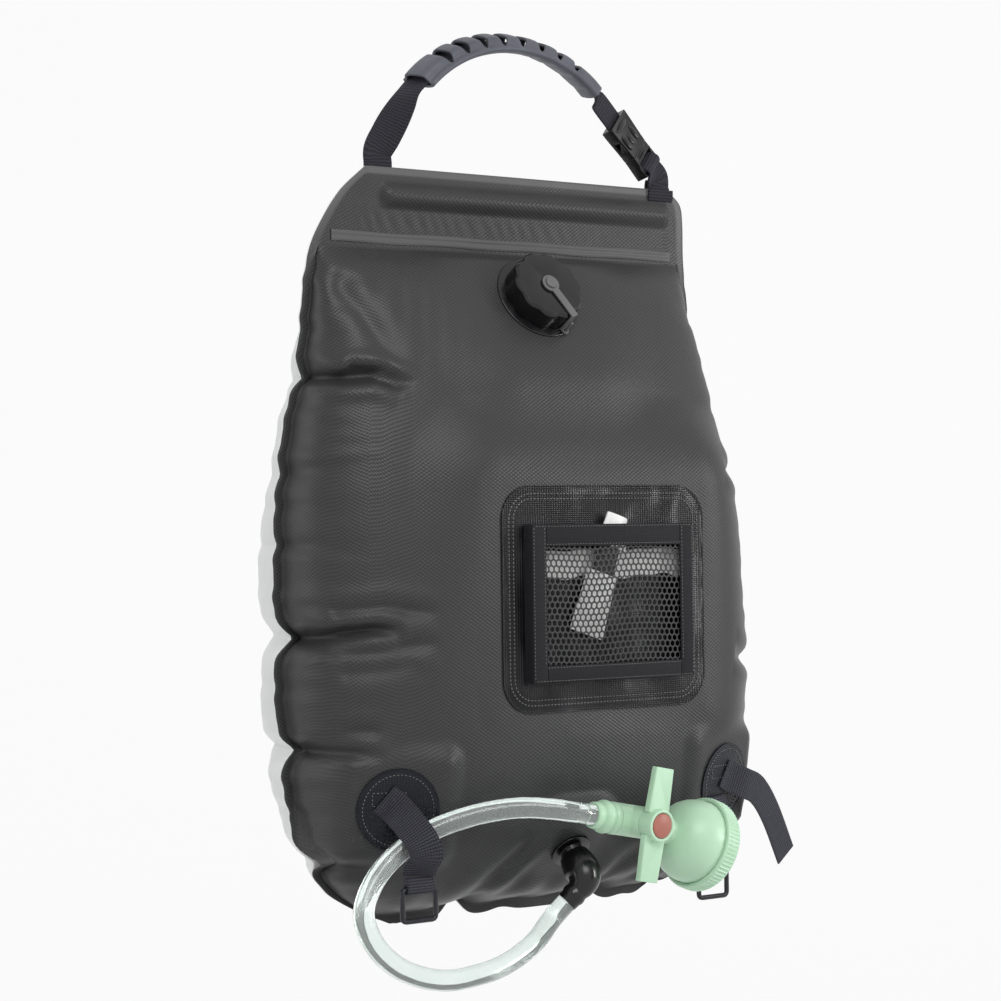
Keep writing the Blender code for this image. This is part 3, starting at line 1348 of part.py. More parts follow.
def make_socket(slide):
    half_thick = BUCKLE_THICKNESS / 2
    shell = prism(buckle_outline(0, SOCKET_LENGTH, BUCKLE_WIDTH), -half_thick, half_thick)
    socket = finish("buckle_socket", shell, GLOSS_BLACK, slide)
    slot_y = WEBBING_WIDTH / 2 + CHANNEL_CLEARANCE
    slot_z = WEBBING_THICKNESS / 2 + CHANNEL_CLEARANCE
    slot_end = SOCKET_BAR + PRONG_LENGTH + RUNNING_GAP
    cut(socket, block((-OVERRUN, -slot_y, -slot_z), (slot_end, slot_y, slot_z)))
    room_y = BUCKLE_WIDTH / 2 * PLUG_WAIST_SHARE - SOCKET_WALL
    room_z = half_thick - SOCKET_WALL
    cut(socket, block((ROOM_START, -room_y, -room_z), (SOCKET_LENGTH + OVERRUN, room_y, room_z)))
    window_z = room_z * WINDOW_HEIGHT_SHARE
    window = block(
        (WINDOW_START, -BUCKLE_WIDTH, -window_z),
        (WINDOW_START + WINDOW_LENGTH, BUCKLE_WIDTH, window_z),
    )
    cut(socket, window)


def make_plug(root_seat):
    half_thick = BUCKLE_THICKNESS / 2
    outline = buckle_outline(PLUG_START, PLUG_END, PLUG_WIDTH)
    outline = [(PLUG_START + PLUG_END - x, y) for x, y in outline]
    plug = finish("buckle_plug", prism(outline, -half_thick, half_thick), GLOSS_BLACK, root_seat)
    slot_y = WEBBING_WIDTH / 2 + CHANNEL_CLEARANCE
    slot_x = PLUG_START + PLUG_BLOCK
    slot_end = PLUG_END - PLUG_BAR
    cut(plug, block((slot_x, -slot_y, -BUCKLE_THICKNESS), (slot_end, slot_y, BUCKLE_THICKNESS)))
    tongue = block(
        (PLUG_START - TONGUE_LENGTH, -TONGUE_WIDTH / 2, -PRONG_THICKNESS / 2),
        (PLUG_START + PLUG_BLOCK / 2, TONGUE_WIDTH / 2, PRONG_THICKNESS / 2),
    )
    join(plug, tongue)
    room_y = BUCKLE_WIDTH / 2 * PLUG_WAIST_SHARE - SOCKET_WALL
    outer = room_y - RUNNING_GAP
    tip = PLUG_START - PRONG_LENGTH
    shoulder_end = WINDOW_START + WINDOW_LENGTH - GAP
    reach = outer + PRONG_SHOULDER
    for name, side in (("buckle_prong_left", -1), ("buckle_prong_right", 1)):
        outline = [
            (PLUG_START - GAP, outer - PRONG_WIDTH), (PLUG_START - GAP, outer), (shoulder_end, outer),
            (shoulder_end, reach), (shoulder_end - PRONG_SHOULDER, reach), (tip + PRONG_SHOULDER, outer),
            (tip, outer - PRONG_WIDTH / 2), (tip, outer - PRONG_WIDTH),
        ]
        outline = [(x, side * y) for x, y in outline]
        prong = prism(outline, -PRONG_THICKNESS / 2, PRONG_THICKNESS / 2)
        finish(name, prong, GLOSS_BLACK, root_seat)


def make_buckle_loop(root):
    """Webbing through the plug's slot, over its bar and down to just above the swing's axis."""
    buckle = buckle_matrix()
    face = buckle.to_3x3() @ Z_AXIS
    axis = buckle.to_3x3() @ X_AXIS
    half_thick = BUCKLE_THICKNESS / 2
    slot_x = PLUG_START + PLUG_BLOCK + (PLUG_FRAME - PLUG_BAR) / 2
    over = half_thick + WEBBING_THICKNESS
    top = Vector((FOOT_RIGHT, HINGE_BACK, -HEADER_DROP + HINGE_RISE + WEBBING_THICKNESS / 2 + GAP))
    route = (
        (slot_x, -half_thick, -axis),
        (slot_x, half_thick / 2, -axis),
        ((slot_x + PLUG_END) / 2, over, face),
        (PLUG_END, over - GAP, face),
        (PLUG_END + WEBBING_THICKNESS * 2, half_thick / 2, (face + axis).normalized()),
    )
    points = [buckle @ Vector((x, 0, z)) for x, z, _ in route]
    normals = [normal for _, _, normal in route]
    points += [top + Z_AXIS * LOOP_BULGE, top]
    normals += [-Y_AXIS, -Y_AXIS]
    stations = stations_along(points, normals)
    stations[-1] = (top, -Y_AXIS, Z_AXIS * -1)
    finish("buckle_loop", ribbon(stations, WEBBING_WIDTH, WEBBING_THICKNESS), WEBBING_BLACK, root)


# Strap feet on the header, with a round upper end on the swing's axis

def foot_end():
    half = WEBBING_THICKNESS / 2
    steps = 6
    points = []
    for step in range(steps + 1):
        angle = math.pi * step / steps
        points.append((HINGE_BACK + half * math.cos(angle), HINGE_RISE + half * math.sin(angle)))
    return points


def make_feet(bag):
    half = WEBBING_THICKNESS / 2
    near, far = HINGE_BACK - half, HINGE_BACK + half
    left = [(near, -FOOT_DROP), (far, -FOOT_DROP), *foot_end()]
    right = [
        (near, -SLOT_BELOW_TOP + half), (-near, -SLOT_BELOW_TOP + half), (-near, -GAP), (-far, -GAP),
        (-far, -SLOT_BELOW_TOP - half), (far, -SLOT_BELOW_TOP - half), *foot_end(),
    ]
    feet = (("left_strap_foot", left, -FOOT_LEFT), ("right_strap_foot", right, FOOT_RIGHT))
    for name, outline, middle in feet:
        sections = []
        for x in (middle - WEBBING_WIDTH / 2, middle + WEBBING_WIDTH / 2):
            sections.append([Vector((x, y, z)) for y, z in outline])
        finish(name, swept(sections), WEBBING_BLACK, bag)


def strap_slot():
    """The slot through both panels for the right foot."""
    half = WEBBING_WIDTH / 2 + CHANNEL_CLEARANCE
    low = (FOOT_RIGHT - half, -TUNNEL_RISE, -SLOT_BELOW_TOP - SLOT_HEIGHT / 2)
    high = (FOOT_RIGHT + half, TUNNEL_RISE, -SLOT_BELOW_TOP + SLOT_HEIGHT / 2)
    return block(low, high)


def main():
    clear_scene()
    root = seat("hook_point", Matrix())
    swing = seat("bag_swing", Matrix.Translation((0, HINGE_BACK, -HEADER_DROP + HINGE_RISE)), root)
    bag = seat("bag", Matrix.Translation((0, -HINGE_BACK, -HINGE_RISE)), swing)

    make_grip(root)
    make_handle_strap(root)
    buckle_seat = seat("buckle_seat", buckle_matrix(), root)
    make_plug(buckle_seat)
    make_buckle_loop(root)
    make_socket(seat("buckle_release", Matrix(), buckle_seat))

    front = make_panel("front_panel", -1, front_rise, DARK_SHEET, bag)
    back = make_panel("back_panel", 1, back_rise, WHITE_SHEET, bag)
    cut(front, strap_slot())
    cut(back, strap_slot())
    make_header(bag)
    make_feet(bag)

    filler = flat_seat("filler_seat", 0, bag)
    pocket = flat_seat("pocket_seat", 1, bag)
    left_anchor = flat_seat("left_anchor_seat", 2, bag)
    right_anchor = flat_seat("right_anchor_seat", 3, bag)
    outlet = flat_seat("outlet_seat", 4, bag)

    for place, radius in ((filler, NECK_BORE), (outlet, OUTLET_STEM_RADIUS + GAP)):
        hole = disc(radius, -PANEL_WALL - OVERRUN, OVERRUN, 32)
        cut(front, moved(hole, place.matrix_basis))

    make_filler(filler)
    make_tether_post(filler)
    cap_lift = seat("cap_lift", Matrix(), filler)
    make_tether(cap_lift)
    make_cap(seat("cap_turn", Matrix(), cap_lift))

    make_pocket(pocket)
    tilt = Matrix.Rotation(math.radians(STOWED_TILT), 4, "Z")
    place = Matrix.Translation((STOWED_RIGHT, STOWED_UP, 0))
    make_stowed_tube(seat("tube_lift", place @ tilt, pocket))

    make_anchor("left", left_anchor)
    left_end = make_strap("left_hose_strap", LEFT_STRAP_SHARES, 12, left_anchor)
    make_anchor("right", right_anchor)
    make_strap("right_hose_strap", RIGHT_STRAP_SHARES, 12, right_anchor)
    right_end = make_strap("right_ring_strap", RING_STRAP_SHARES, 5, right_anchor)
    loop_drop = 2 * (RING_BAR + RING_LOOP_CLEARANCE + WEBBING_THICKNESS) + GAP
    ends = (("left", left_end, left_anchor, LEFT_END_LEAN), ("right", right_end, right_anchor, 0))
    for name, end, anchor, lean in ends:
        place = Matrix.Translation(anchor.matrix_basis @ end - Z_AXIS * (loop_drop + lean))
        loop_seat = seat(f"{name}_ring_seat", place, bag)
        make_ring_loop(f"{name}_ring_loop", loop_seat)
        make_ring(f"{name}_ring", seat(f"{name}_ring_swing", Matrix(), loop_seat))

    make_outlet(outlet)
    elbow_end, neck = make_elbow(outlet.matrix_basis, bag)
    matrix, flow = head_matrix()
    head = seat("head_seat", matrix, bag)
    make_head(head)
    make_valve(seat("valve_turn", Matrix(), head))
    place = Matrix.Translation((VALVE_HALF_LENGTH, 0, 0))
    bend = Matrix.Rotation(-math.radians(HEAD_BEND), 4, "Z")
    dome = seat("dome_seat", place @ bend @ ALONG_X, head)
    make_dome(dome)
    rose_lift = seat("rose_lift", Matrix(), dome)
    make_rose(rose_lift, seat("rose_turn", Matrix(), rose_lift))
    ferrule = matrix @ Vector((-FERRULE_END, 0, 0))
    make_hose(elbow_end, neck, ferrule, flow, bag)


main()
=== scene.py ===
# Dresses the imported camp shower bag: fine panels, webbing, net, fittings, finishes, light and camera
import math
import bmesh
import bpy
import numpy as np
from mathutils import Matrix, Vector


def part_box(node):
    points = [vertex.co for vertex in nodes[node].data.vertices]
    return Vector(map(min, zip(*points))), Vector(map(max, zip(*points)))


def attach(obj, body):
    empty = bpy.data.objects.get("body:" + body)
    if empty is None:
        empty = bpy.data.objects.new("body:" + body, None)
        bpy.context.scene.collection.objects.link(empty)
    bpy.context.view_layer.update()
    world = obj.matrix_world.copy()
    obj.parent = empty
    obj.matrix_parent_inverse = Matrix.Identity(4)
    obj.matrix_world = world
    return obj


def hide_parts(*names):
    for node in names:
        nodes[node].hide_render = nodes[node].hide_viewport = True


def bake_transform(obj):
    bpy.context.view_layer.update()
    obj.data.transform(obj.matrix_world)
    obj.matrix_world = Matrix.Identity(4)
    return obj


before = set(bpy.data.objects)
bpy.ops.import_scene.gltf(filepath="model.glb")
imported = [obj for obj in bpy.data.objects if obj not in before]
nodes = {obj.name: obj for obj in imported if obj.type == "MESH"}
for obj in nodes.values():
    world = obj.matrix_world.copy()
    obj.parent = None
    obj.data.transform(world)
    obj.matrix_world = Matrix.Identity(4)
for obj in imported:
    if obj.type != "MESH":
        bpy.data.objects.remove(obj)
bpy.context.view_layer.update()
print("frame loaded:", len(nodes), "nodes")

# Camera


def wayTo(azimuth, elevation):
    # a unit step from the bag towards that side and height, both in radians
    return Vector((math.sin(azimuth) * math.cos(elevation), -math.cos(azimuth) * math.cos(elevation),
                   math.sin(elevation)))


def addToScene(name, data):
    thing = bpy.data.objects.new(name, data)
    bpy.context.scene.collection.objects.link(thing)
    return thing


camera = {"azimuth": -33.08, "elevation": -0.61, "roll": -0.74, "distance": 1.9035, "lens": 84.46,
          "sensor": 36, "target": (-0.01436, 0, -0.36557)}


def placeCamera():
    azimuth, elevation, roll = [math.radians(camera[key]) for key in ("azimuth", "elevation", "roll")]
    back = wayTo(azimuth, elevation)
    right = Vector((0, 0, 1)).cross(back).normalized()
    up = back.cross(right)
    rolledRight = right * math.cos(roll) + up * math.sin(roll)
    rolledUp = up * math.cos(roll) - right * math.sin(roll)
    turn = Matrix((rolledRight, rolledUp, back)).transposed().to_4x4()
    data = bpy.data.cameras.new("photoCamera")
    data.lens = camera["lens"]
    data.sensor_width = camera["sensor"]
    viewer = addToScene("photoCamera", data)
    viewer.matrix_world = Matrix.Translation(Vector(camera["target"]) + back * camera["distance"]) @ turn
    bpy.context.scene.camera = viewer


placeCamera()
print("camera placed")

# Node helpers


def setInputs(tree, node, values):
    for key, value in values.items():
        if isinstance(value, bpy.types.NodeSocket):
            tree.links.new(value, node.inputs[key])
        else:
            node.inputs[key].default_value = value


def addNode(tree, kind, values=None):
    node = tree.nodes.new("ShaderNode" + kind)
    setInputs(tree, node, values or {})
    return node


def startMaterial(name, shine):
    material = bpy.data.materials.new(name)
    material.use_nodes = True
    tree = material.node_tree
    shader = tree.nodes["Principled BSDF"]
    setInputs(tree, shader, {"Specular IOR Level": shine})
    return material, tree, shader


def calc(tree, operation, *values):
    node = addNode(tree, "Math")
    node.operation = operation
    setInputs(tree, node, dict(enumerate(values)))
    return node.outputs[0]


def mixColours(tree, share, *colours):
    node = addNode(tree, "Mix")
    node.data_type = "RGBA"
    first, second = [(*colour, 1) if isinstance(colour, tuple) else colour for colour in colours]
    setInputs(tree, node, {0: share, 6: first, 7: second})
    return node.outputs[2]


def blotches(tree, scale, detail=3, rough=0.5, stretch=(1, 1, 1)):
    coords = addNode(tree, "TexCoord").outputs["Object"]
    placed = addNode(tree, "Mapping", {"Vector": coords, "Scale": stretch}).outputs["Vector"]
    return addNode(tree, "TexNoise", {"Vector": placed, "Scale": scale, "Detail": detail,
                                      "Roughness": rough}).outputs["Fac"]


def sheetCoords(tree):
    # the sheet's own map, in metres across and along
    split = addNode(tree, "SeparateXYZ", {0: addNode(tree, "TexCoord").outputs["UV"]})
    return split.outputs[0], split.outputs[1]


def waves(tree, place, pitch):
    turns = calc(tree, "MULTIPLY", place, 2 * math.pi / pitch)
    return calc(tree, "MULTIPLY_ADD", calc(tree, "COSINE", turns), 0.5, 0.5)


def relief(tree, height, distance, under=None):
    under = {"Normal": under} if under else {}
    return addNode(tree, "Bump", {"Distance": distance, "Height": height, **under}).outputs["Normal"]


def spread(tree, value, low, high):
    # the middle half of a pattern's range, drawn out from low to high
    return addNode(tree, "MapRange", {"Value": value, "From Min": 0.25, "From Max": 0.75, "To Min": low,
                                      "To Max": high}).outputs["Result"]


def seenStraight(tree):
    # 1 for what the camera sees, directly, in a gloss or through the clear hose, and 0 for other light
    rays = addNode(tree, "LightPath").outputs
    seen = calc(tree, "ADD", calc(tree, "ADD", rays["Is Camera Ray"], rays["Is Glossy Ray"]),
                rays["Is Transmission Ray"])
    return calc(tree, "MINIMUM", seen, 1.0)


def setSurface(tree, shader, look, colour, wear, normal):
    # the wear, as (pattern, less, more), varies the roughness round the finish's own
    pattern, less, more = wear
    rough = spread(tree, pattern, look["roughness"] - less, look["roughness"] + more)
    setInputs(tree, shader, {"Base Color": colour, "Roughness": rough, "Normal": normal})


def setGlow(tree, shader, share, depth):
    setInputs(tree, shader, {"Subsurface Weight": share, "Subsurface Radius": (1, 1, 1),
                             "Subsurface Scale": depth})


def tintOf(tree, look, share):
    return mixColours(tree, share, look["dark"], look["colour"])


# Finishes


def coatedCloth(name, look):
    # embossed diamond grain under a satin coat, plain where it is welded; the weld mark also mixes in a
    # lighter colour, a painted highlight on the header's top edge and upper seam flanges
    material, tree, shader = startMaterial(name, 0.27)
    across, along = [waves(tree, place, look[pitch])
                     for place, pitch in zip(sheetCoords(tree), ("pitchAcross", "pitchAlong"))]
    halfWay = calc(tree, "MULTIPLY", calc(tree, "SUBTRACT", 1.0, across), calc(tree, "SUBTRACT", 1.0, along))
    grain = calc(tree, "ADD", calc(tree, "MULTIPLY", across, along), halfWay)
    mark = addNode(tree, "Attribute")
    mark.attribute_name = "weld"
    weld = mark.outputs["Fac"]
    grain = calc(tree, "MULTIPLY", grain, calc(tree, "MULTIPLY_ADD", weld, -0.75, 1.0))
    clouds = blotches(tree, 7, 4)
    share = calc(tree, "MULTIPLY_ADD", grain, 0.75, calc(tree, "MULTIPLY", clouds, 0.25))
    # painted highlight: the weld mark mixes the colour towards the lighter weld highlight colour
    tone = mixColours(tree, weld, tintOf(tree, look, share), look["weldHighlightColour"])
    soft = relief(tree, blotches(tree, look["ripple"], 2), look["rippleDepth"])
    setSurface(tree, shader, look, tone, (clouds, 0.06, 0.06), relief(tree, grain, look["grainDepth"], soft))
    return material


def wovenTape(name, look):
    # ribs across the tape, set in slight chevrons, with warp yarns along it
    material, tree, shader = startMaterial(name, 0.22)
    across, along = sheetCoords(tree)
    zigzag = calc(tree, "PINGPONG", across, look["chevron"])
    ribs = waves(tree, calc(tree, "MULTIPLY_ADD", zigzag, 0.14, along), look["ribPitch"])
    yarns = waves(tree, across, look["yarnPitch"])
    height = calc(tree, "MULTIPLY_ADD", ribs, 0.7, calc(tree, "MULTIPLY", yarns, 0.3))
    fuzz = blotches(tree, 420, 2)
    tone = tintOf(tree, look, calc(tree, "MULTIPLY", height, spread(tree, fuzz, 0.6, 1.0)))
    setInputs(tree, shader, {"Sheen Weight": 0.06, "Sheen Tint": (0.75, 0.75, 1.0, 1)})
    setSurface(tree, shader, look, tone, (fuzz, 0.1, 0.08), relief(tree, height, look["ribDepth"]))
    return material


def mouldedPlastic(name, look):
    # a faint tooled grain and a little flow in the colour
    material, tree, shader = startMaterial(name, look.get("shine", 0.5))
    tone = tintOf(tree, look, spread(tree, blotches(tree, 30, 3, 0.6, (1, 1, 0.4)), 0.0, 1.0))
    setGlow(tree, shader, look.get("glow", 0.0), 0.004)
    grain = relief(tree, blotches(tree, look.get("grain", 900), 2), look.get("grainDepth", 0.00004))
    setSurface(tree, shader, look, tone, (blotches(tree, 160, 4), 0.05, 0.09), grain)
    return material


def glossPatch(name, look):
    # smooth coat over a fine weave, with the slow waves that break up its reflections
    material, tree, shader = startMaterial(name, 0.24)
    across, along = sheetCoords(tree)
    weave = calc(tree, "MULTIPLY", waves(tree, across, 0.0022), waves(tree, along, 0.0016))
    scuffs = blotches(tree, 90, 5, 0.7)
    tone = tintOf(tree, look, calc(tree, "MULTIPLY", weave, scuffs))
    waved = relief(tree, blotches(tree, 26, 1, 0.4), look["waveDepth"])
    setSurface(tree, shader, look, tone, (scuffs, 0.04, 0.08), relief(tree, weave, 0.0002, waved))
    return material


def milkySheet(name, look):
    # pale vinyl or cloth that lets some light through
    material, tree, shader = startMaterial(name, 0.5)
    tone = tintOf(tree, look, spread(tree, blotches(tree, 9, 4), 0.0, 1.0))
    setGlow(tree, shader, look["glow"], 0.008)
    dents = relief(tree, blotches(tree, 22, 3), 0.0012)
    setSurface(tree, shader, look, tone, (blotches(tree, 60, 3), 0.05, 0.1), dents)
    return material


def clearVinyl(name, look):
    # see-through tube, a little uneven from its drawing
    material, tree, shader = startMaterial(name, 0.5)
    flow = blotches(tree, 40)
    setInputs(tree, shader, {"Transmission Weight": look["clear"], "IOR": look["ior"]})
    dents = relief(tree, blotches(tree, 55, 2), 0.0003)
    setSurface(tree, shader, look, tintOf(tree, look, spread(tree, flow, 0.0, 1.0)), (flow, 0.0, 0.05), dents)
    return material


darkCloth = coatedCloth("darkCloth", {
    # weldHighlightColour is the colour of the painted highlight on the header's welds
    "colour": (0.052, 0.052, 0.053), "dark": (0.017, 0.017, 0.018), "weldHighlightColour": (0.1, 0.1, 0.101),
    "roughness": 0.4, "pitchAcross": 0.0042, "pitchAlong": 0.0029, "grainDepth": 0.00018,
    "ripple": 26, "rippleDepth": 0.0006})
weldedBand = coatedCloth("weldedBand", {
    "colour": (0.1, 0.1, 0.101), "dark": (0.075, 0.075, 0.075), "weldHighlightColour": (0.1, 0.1, 0.1),
    "roughness": 0.45, "pitchAcross": 0.003, "pitchAlong": 0.002, "grainDepth": 0.00005,
    "ripple": 60, "rippleDepth": 0.0004})
milkyVinyl = milkySheet("milkyVinyl", {
    "colour": (0.92, 0.945, 0.935), "dark": (0.86, 0.885, 0.875), "roughness": 0.4, "glow": 0.35})
strapWeave = wovenTape("strapWeave", {
    "colour": (0.034, 0.033, 0.044), "dark": (0.004, 0.004, 0.007), "roughness": 0.72, "ribPitch": 0.0026,
    "yarnPitch": 0.0016, "chevron": 0.004, "ribDepth": 0.0005})
anchorWeave = wovenTape("anchorWeave", {
    "colour": (0.07, 0.07, 0.088), "dark": (0.004, 0.004, 0.007), "roughness": 0.7, "ribPitch": 0.0021,
    "yarnPitch": 0.0021, "chevron": 0.0021, "ribDepth": 0.0005})
tapeWeave = wovenTape("tapeWeave", {
    "colour": (0.016, 0.016, 0.018), "dark": (0.005, 0.005, 0.006), "roughness": 0.7, "ribPitch": 0.0012,
    "yarnPitch": 0.0012, "chevron": 0.002, "ribDepth": 0.00015})
whiteCloth = milkySheet("whiteCloth", {
    "colour": (0.82, 0.82, 0.81), "dark": (0.7, 0.7, 0.69), "roughness": 0.6, "glow": 0.0})
patchGloss = glossPatch("patchGloss", {
    "colour": (0.022, 0.022, 0.024), "dark": (0.004, 0.004, 0.005), "roughness": 0.17, "waveDepth": 0.009})
anchorGloss = glossPatch("anchorGloss", {
    "colour": (0.009, 0.01, 0.018), "dark": (0.004, 0.005, 0.009), "roughness": 0.26, "waveDepth": 0.003})
blackGloss = mouldedPlastic("blackGloss", {
    "colour": (0.01, 0.01, 0.011), "dark": (0.004, 0.004, 0.005), "roughness": 0.2, "shine": 0.4})
buckleGloss = mouldedPlastic("buckleGloss", {
    "colour": (0.012, 0.011, 0.012), "dark": (0.005, 0.005, 0.006), "roughness": 0.24, "shine": 0.35})
ringBlack = mouldedPlastic("ringBlack", {
    "colour": (0.018, 0.018, 0.024), "dark": (0.008, 0.008, 0.012), "roughness": 0.3, "shine": 0.35})
rubberSlate = mouldedPlastic("rubberSlate", {
    "colour": (0.105, 0.11, 0.135), "dark": (0.062, 0.065, 0.08), "roughness": 0.48, "grain": 1500,
    "grainDepth": 0.00006, "shine": 0.4})
tetherGrey = mouldedPlastic("tetherGrey", {
    "colour": (0.14, 0.14, 0.14), "dark": (0.1, 0.1, 0.1), "roughness": 0.38})
sealRubber = mouldedPlastic("sealRubber", {
    "colour": (0.05, 0.05, 0.05), "dark": (0.03, 0.03, 0.03), "roughness": 0.7})
mintPlastic = mouldedPlastic("mintPlastic", {
    "colour": (0.5, 0.73, 0.53), "dark": (0.43, 0.66, 0.46), "roughness": 0.34, "glow": 0.25})
salmonPlastic = mouldedPlastic("salmonPlastic", {
    "colour": (0.46, 0.17, 0.12), "dark": (0.34, 0.11, 0.08), "roughness": 0.42})
whitePlastic = mouldedPlastic("whitePlastic", {
    "colour": (0.82, 0.82, 0.81), "dark": (0.74, 0.74, 0.73), "roughness": 0.35, "glow": 0.1})
rodPlastic = mouldedPlastic("rodPlastic", {
    "colour": (0.3, 0.3, 0.3), "dark": (0.24, 0.24, 0.24), "roughness": 0.5})
stitchThread = mouldedPlastic("stitchThread", {
    "colour": (0.27, 0.26, 0.25), "dark": (0.13, 0.13, 0.13), "roughness": 0.6, "grain": 2500})
netCord = mouldedPlastic("netCord", {
    "colour": (0.03, 0.03, 0.032), "dark": (0.012, 0.012, 0.013), "roughness": 0.55, "grain": 2200})
hoseVinyl = clearVinyl("hoseVinyl", {
    "colour": (0.96, 0.995, 0.98), "dark": (0.91, 0.965, 0.945), "roughness": 0.04, "ior": 1.38,
    "clear": 0.94})
print("finishes made")

# Shape helpers


def keep(mesh, name, material, sharp=40, recalc=True):
    if recalc:
        bmesh.ops.remove_doubles(mesh, verts=mesh.verts, dist=0.000005)
        bmesh.ops.recalc_face_normals(mesh, faces=mesh.faces)
    data = bpy.data.meshes.new(name)
    mesh.to_mesh(data)
    mesh.free()
    data.shade_smooth()
    if sharp < 180:
        data.set_sharp_from_angle(angle=math.radians(sharp))
    data.materials.append(material)
    return addToScene(name, data)


def standFor(piece, body, *used):
    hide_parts(*used)
    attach(piece, body)


def thicken(piece, thickness, offset=0):
    wall = piece.modifiers.new("Thickness", "SOLIDIFY")
    wall.thickness = thickness
    wall.offset = offset


def softenRim(piece, width, angle=30):
    edge = piece.modifiers.new("Rounded edge", "BEVEL")
    edge.width = width
    edge.segments = 2
    edge.limit_method = "ANGLE"
    edge.angle_limit = math.radians(angle)


def turnTowards(mesh, axis, sign):
    # the sheet's faces are turned over if most of them look the other way
    mesh.normal_update()
    if sum(face.normal[axis] * face.calc_area() for face in mesh.faces) * sign < 0:
        bmesh.ops.reverse_faces(mesh, faces=mesh.faces)


def roundEdges(mesh, width, segments=2, angle=28):
    sharp = [edge for edge in mesh.edges
             if len(edge.link_faces) == 2 and edge.calc_face_angle() > math.radians(angle)]
    bmesh.ops.bevel(mesh, geom=sharp, offset=width, offset_type="OFFSET", segments=segments, profile=0.5,
                    affect="EDGES", clamp_overlap=True, loop_slide=True, material=-1)


def mapBySide(mesh, seat=None):
    # each face is mapped, in metres, on the plane that it faces most squarely
    layer = mesh.loops.layers.uv.verify()
    toSeat = (seat or Matrix()).inverted()
    mesh.normal_update()
    for face in mesh.faces:
        normal = toSeat.to_3x3() @ face.normal
        most = max(range(3), key=lambda k: abs(normal[k]))
        for loop in face.loops:
            place = toSeat @ loop.vert.co
            loop[layer].uv = [place[k] for k in range(3) if k != most]


def solidMesh(node):
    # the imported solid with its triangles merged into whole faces
    mesh = bmesh.new()
    mesh.from_mesh(nodes[node].data)
    bmesh.ops.transform(mesh, matrix=nodes[node].matrix_world, verts=mesh.verts)
    bmesh.ops.remove_doubles(mesh, verts=mesh.verts, dist=0.00001)
    bmesh.ops.dissolve_limit(mesh, angle_limit=math.radians(1.5), verts=mesh.verts, edges=mesh.edges)
    return mesh


def camelName(node):
    # filler_neck becomes fillerNeck
    first, *others = node.split("_")
    return first + "".join(word.capitalize() for word in others)


def softCopy(node, material, body, width=0.0006, segments=2, angle=28, sharp=35, name=None):
    # the solid itself, with its edges rounded
    mesh = solidMesh(node)
    roundEdges(mesh, width, segments, angle)
    mapBySide(mesh)
    standFor(keep(mesh, name or camelName(node), material, sharp), body, node)


def finishNode(node, material):
    mesh = nodes[node].data
    if not mesh.materials:
        mesh.materials.append(material)
    for index in range(len(mesh.materials)):
        mesh.materials[index] = material


def turnedMesh(profile, steps, matrix):
    # (radius, height) points spun about the local Z axis
    mesh = bmesh.new()
    verts = [mesh.verts.new((radius, 0, height)) for radius, height in profile]
    edges = [mesh.edges.new(pair) for pair in zip(verts, verts[1:] + verts[:1])]
    edges = [edge for edge in edges if not all(abs(vert.co.x) < 0.000001 for vert in edge.verts)]
    bmesh.ops.spin(mesh, geom=verts + edges, cent=(0, 0, 0), axis=(0, 0, 1), angle=2 * math.pi,
                   steps=steps, use_merge=True)
    bmesh.ops.remove_doubles(mesh, verts=mesh.verts, dist=0.000005)
    bmesh.ops.delete(mesh, geom=[edge for edge in mesh.edges if not edge.link_faces], context="EDGES")
    bmesh.ops.recalc_face_normals(mesh, faces=mesh.faces)
    bmesh.ops.transform(mesh, matrix=matrix, verts=mesh.verts)
    return mesh


def seatAt(place, right, up, out):
    matrix = Matrix((right, up, out)).transposed().to_4x4()
    matrix.translation = Vector(place)
    return matrix


def sheetMesh(places, maps=None, marks=None):
    # a grid with one point for each row and column of the places, its map in metres and its weld marks, which
    # on the front sheet carry a painted highlight
    rows, columns = len(places), len(places[0])
    maps = mapOf(places) if maps is None else maps
    mesh = bmesh.new()
    layer = mesh.loops.layers.uv.new("UVMap")
    weld = mesh.verts.layers.float.new("weld")
    bmesh.ops.create_grid(mesh, x_segments=columns - 1, y_segments=rows - 1, size=0.5)
    spots = {}
    for vert in mesh.verts:
        column, row = round((vert.co.x + 0.5) * (columns - 1)), round((0.5 - vert.co.y) * (rows - 1))
        spots[vert] = (row, column)
        vert.co = places[row][column]
        vert[weld] = 0.0 if marks is None else float(marks[row][column])
    for face in mesh.faces:
        for loop in face.loops:
            row, column = spots[loop.vert]
            loop[layer].uv = maps[row][column]
    return mesh


def mapOf(places):
    # lengths along the rows from the middle, and down the columns
    places = np.array(places)
    middle = places.shape[1] // 2
    across = np.cumsum(np.linalg.norm(np.diff(places, axis=1, prepend=places[:, :1]), axis=2), axis=1)
    across -= across[:, middle : middle + 1]
    down = np.cumsum(np.linalg.norm(np.diff(places, axis=0, prepend=places[:1]), axis=2), axis=0)
    return np.stack([across, down], axis=2)


def vertsIn(made):
    return [item for item in made["geom"] if isinstance(item, bmesh.types.BMVert)]


def areaOf(mesh):
    return sum(face.calc_area() for face in mesh.faces)


def lengthsAlong(points):
    return np.concatenate([[0], np.cumsum(np.linalg.norm(np.diff(points, axis=0), axis=1))])


def circlePoints(radius, count):
    return [(radius * math.cos(k * 2 * math.pi / count), radius * math.sin(k * 2 * math.pi / count))
            for k in range(count)]


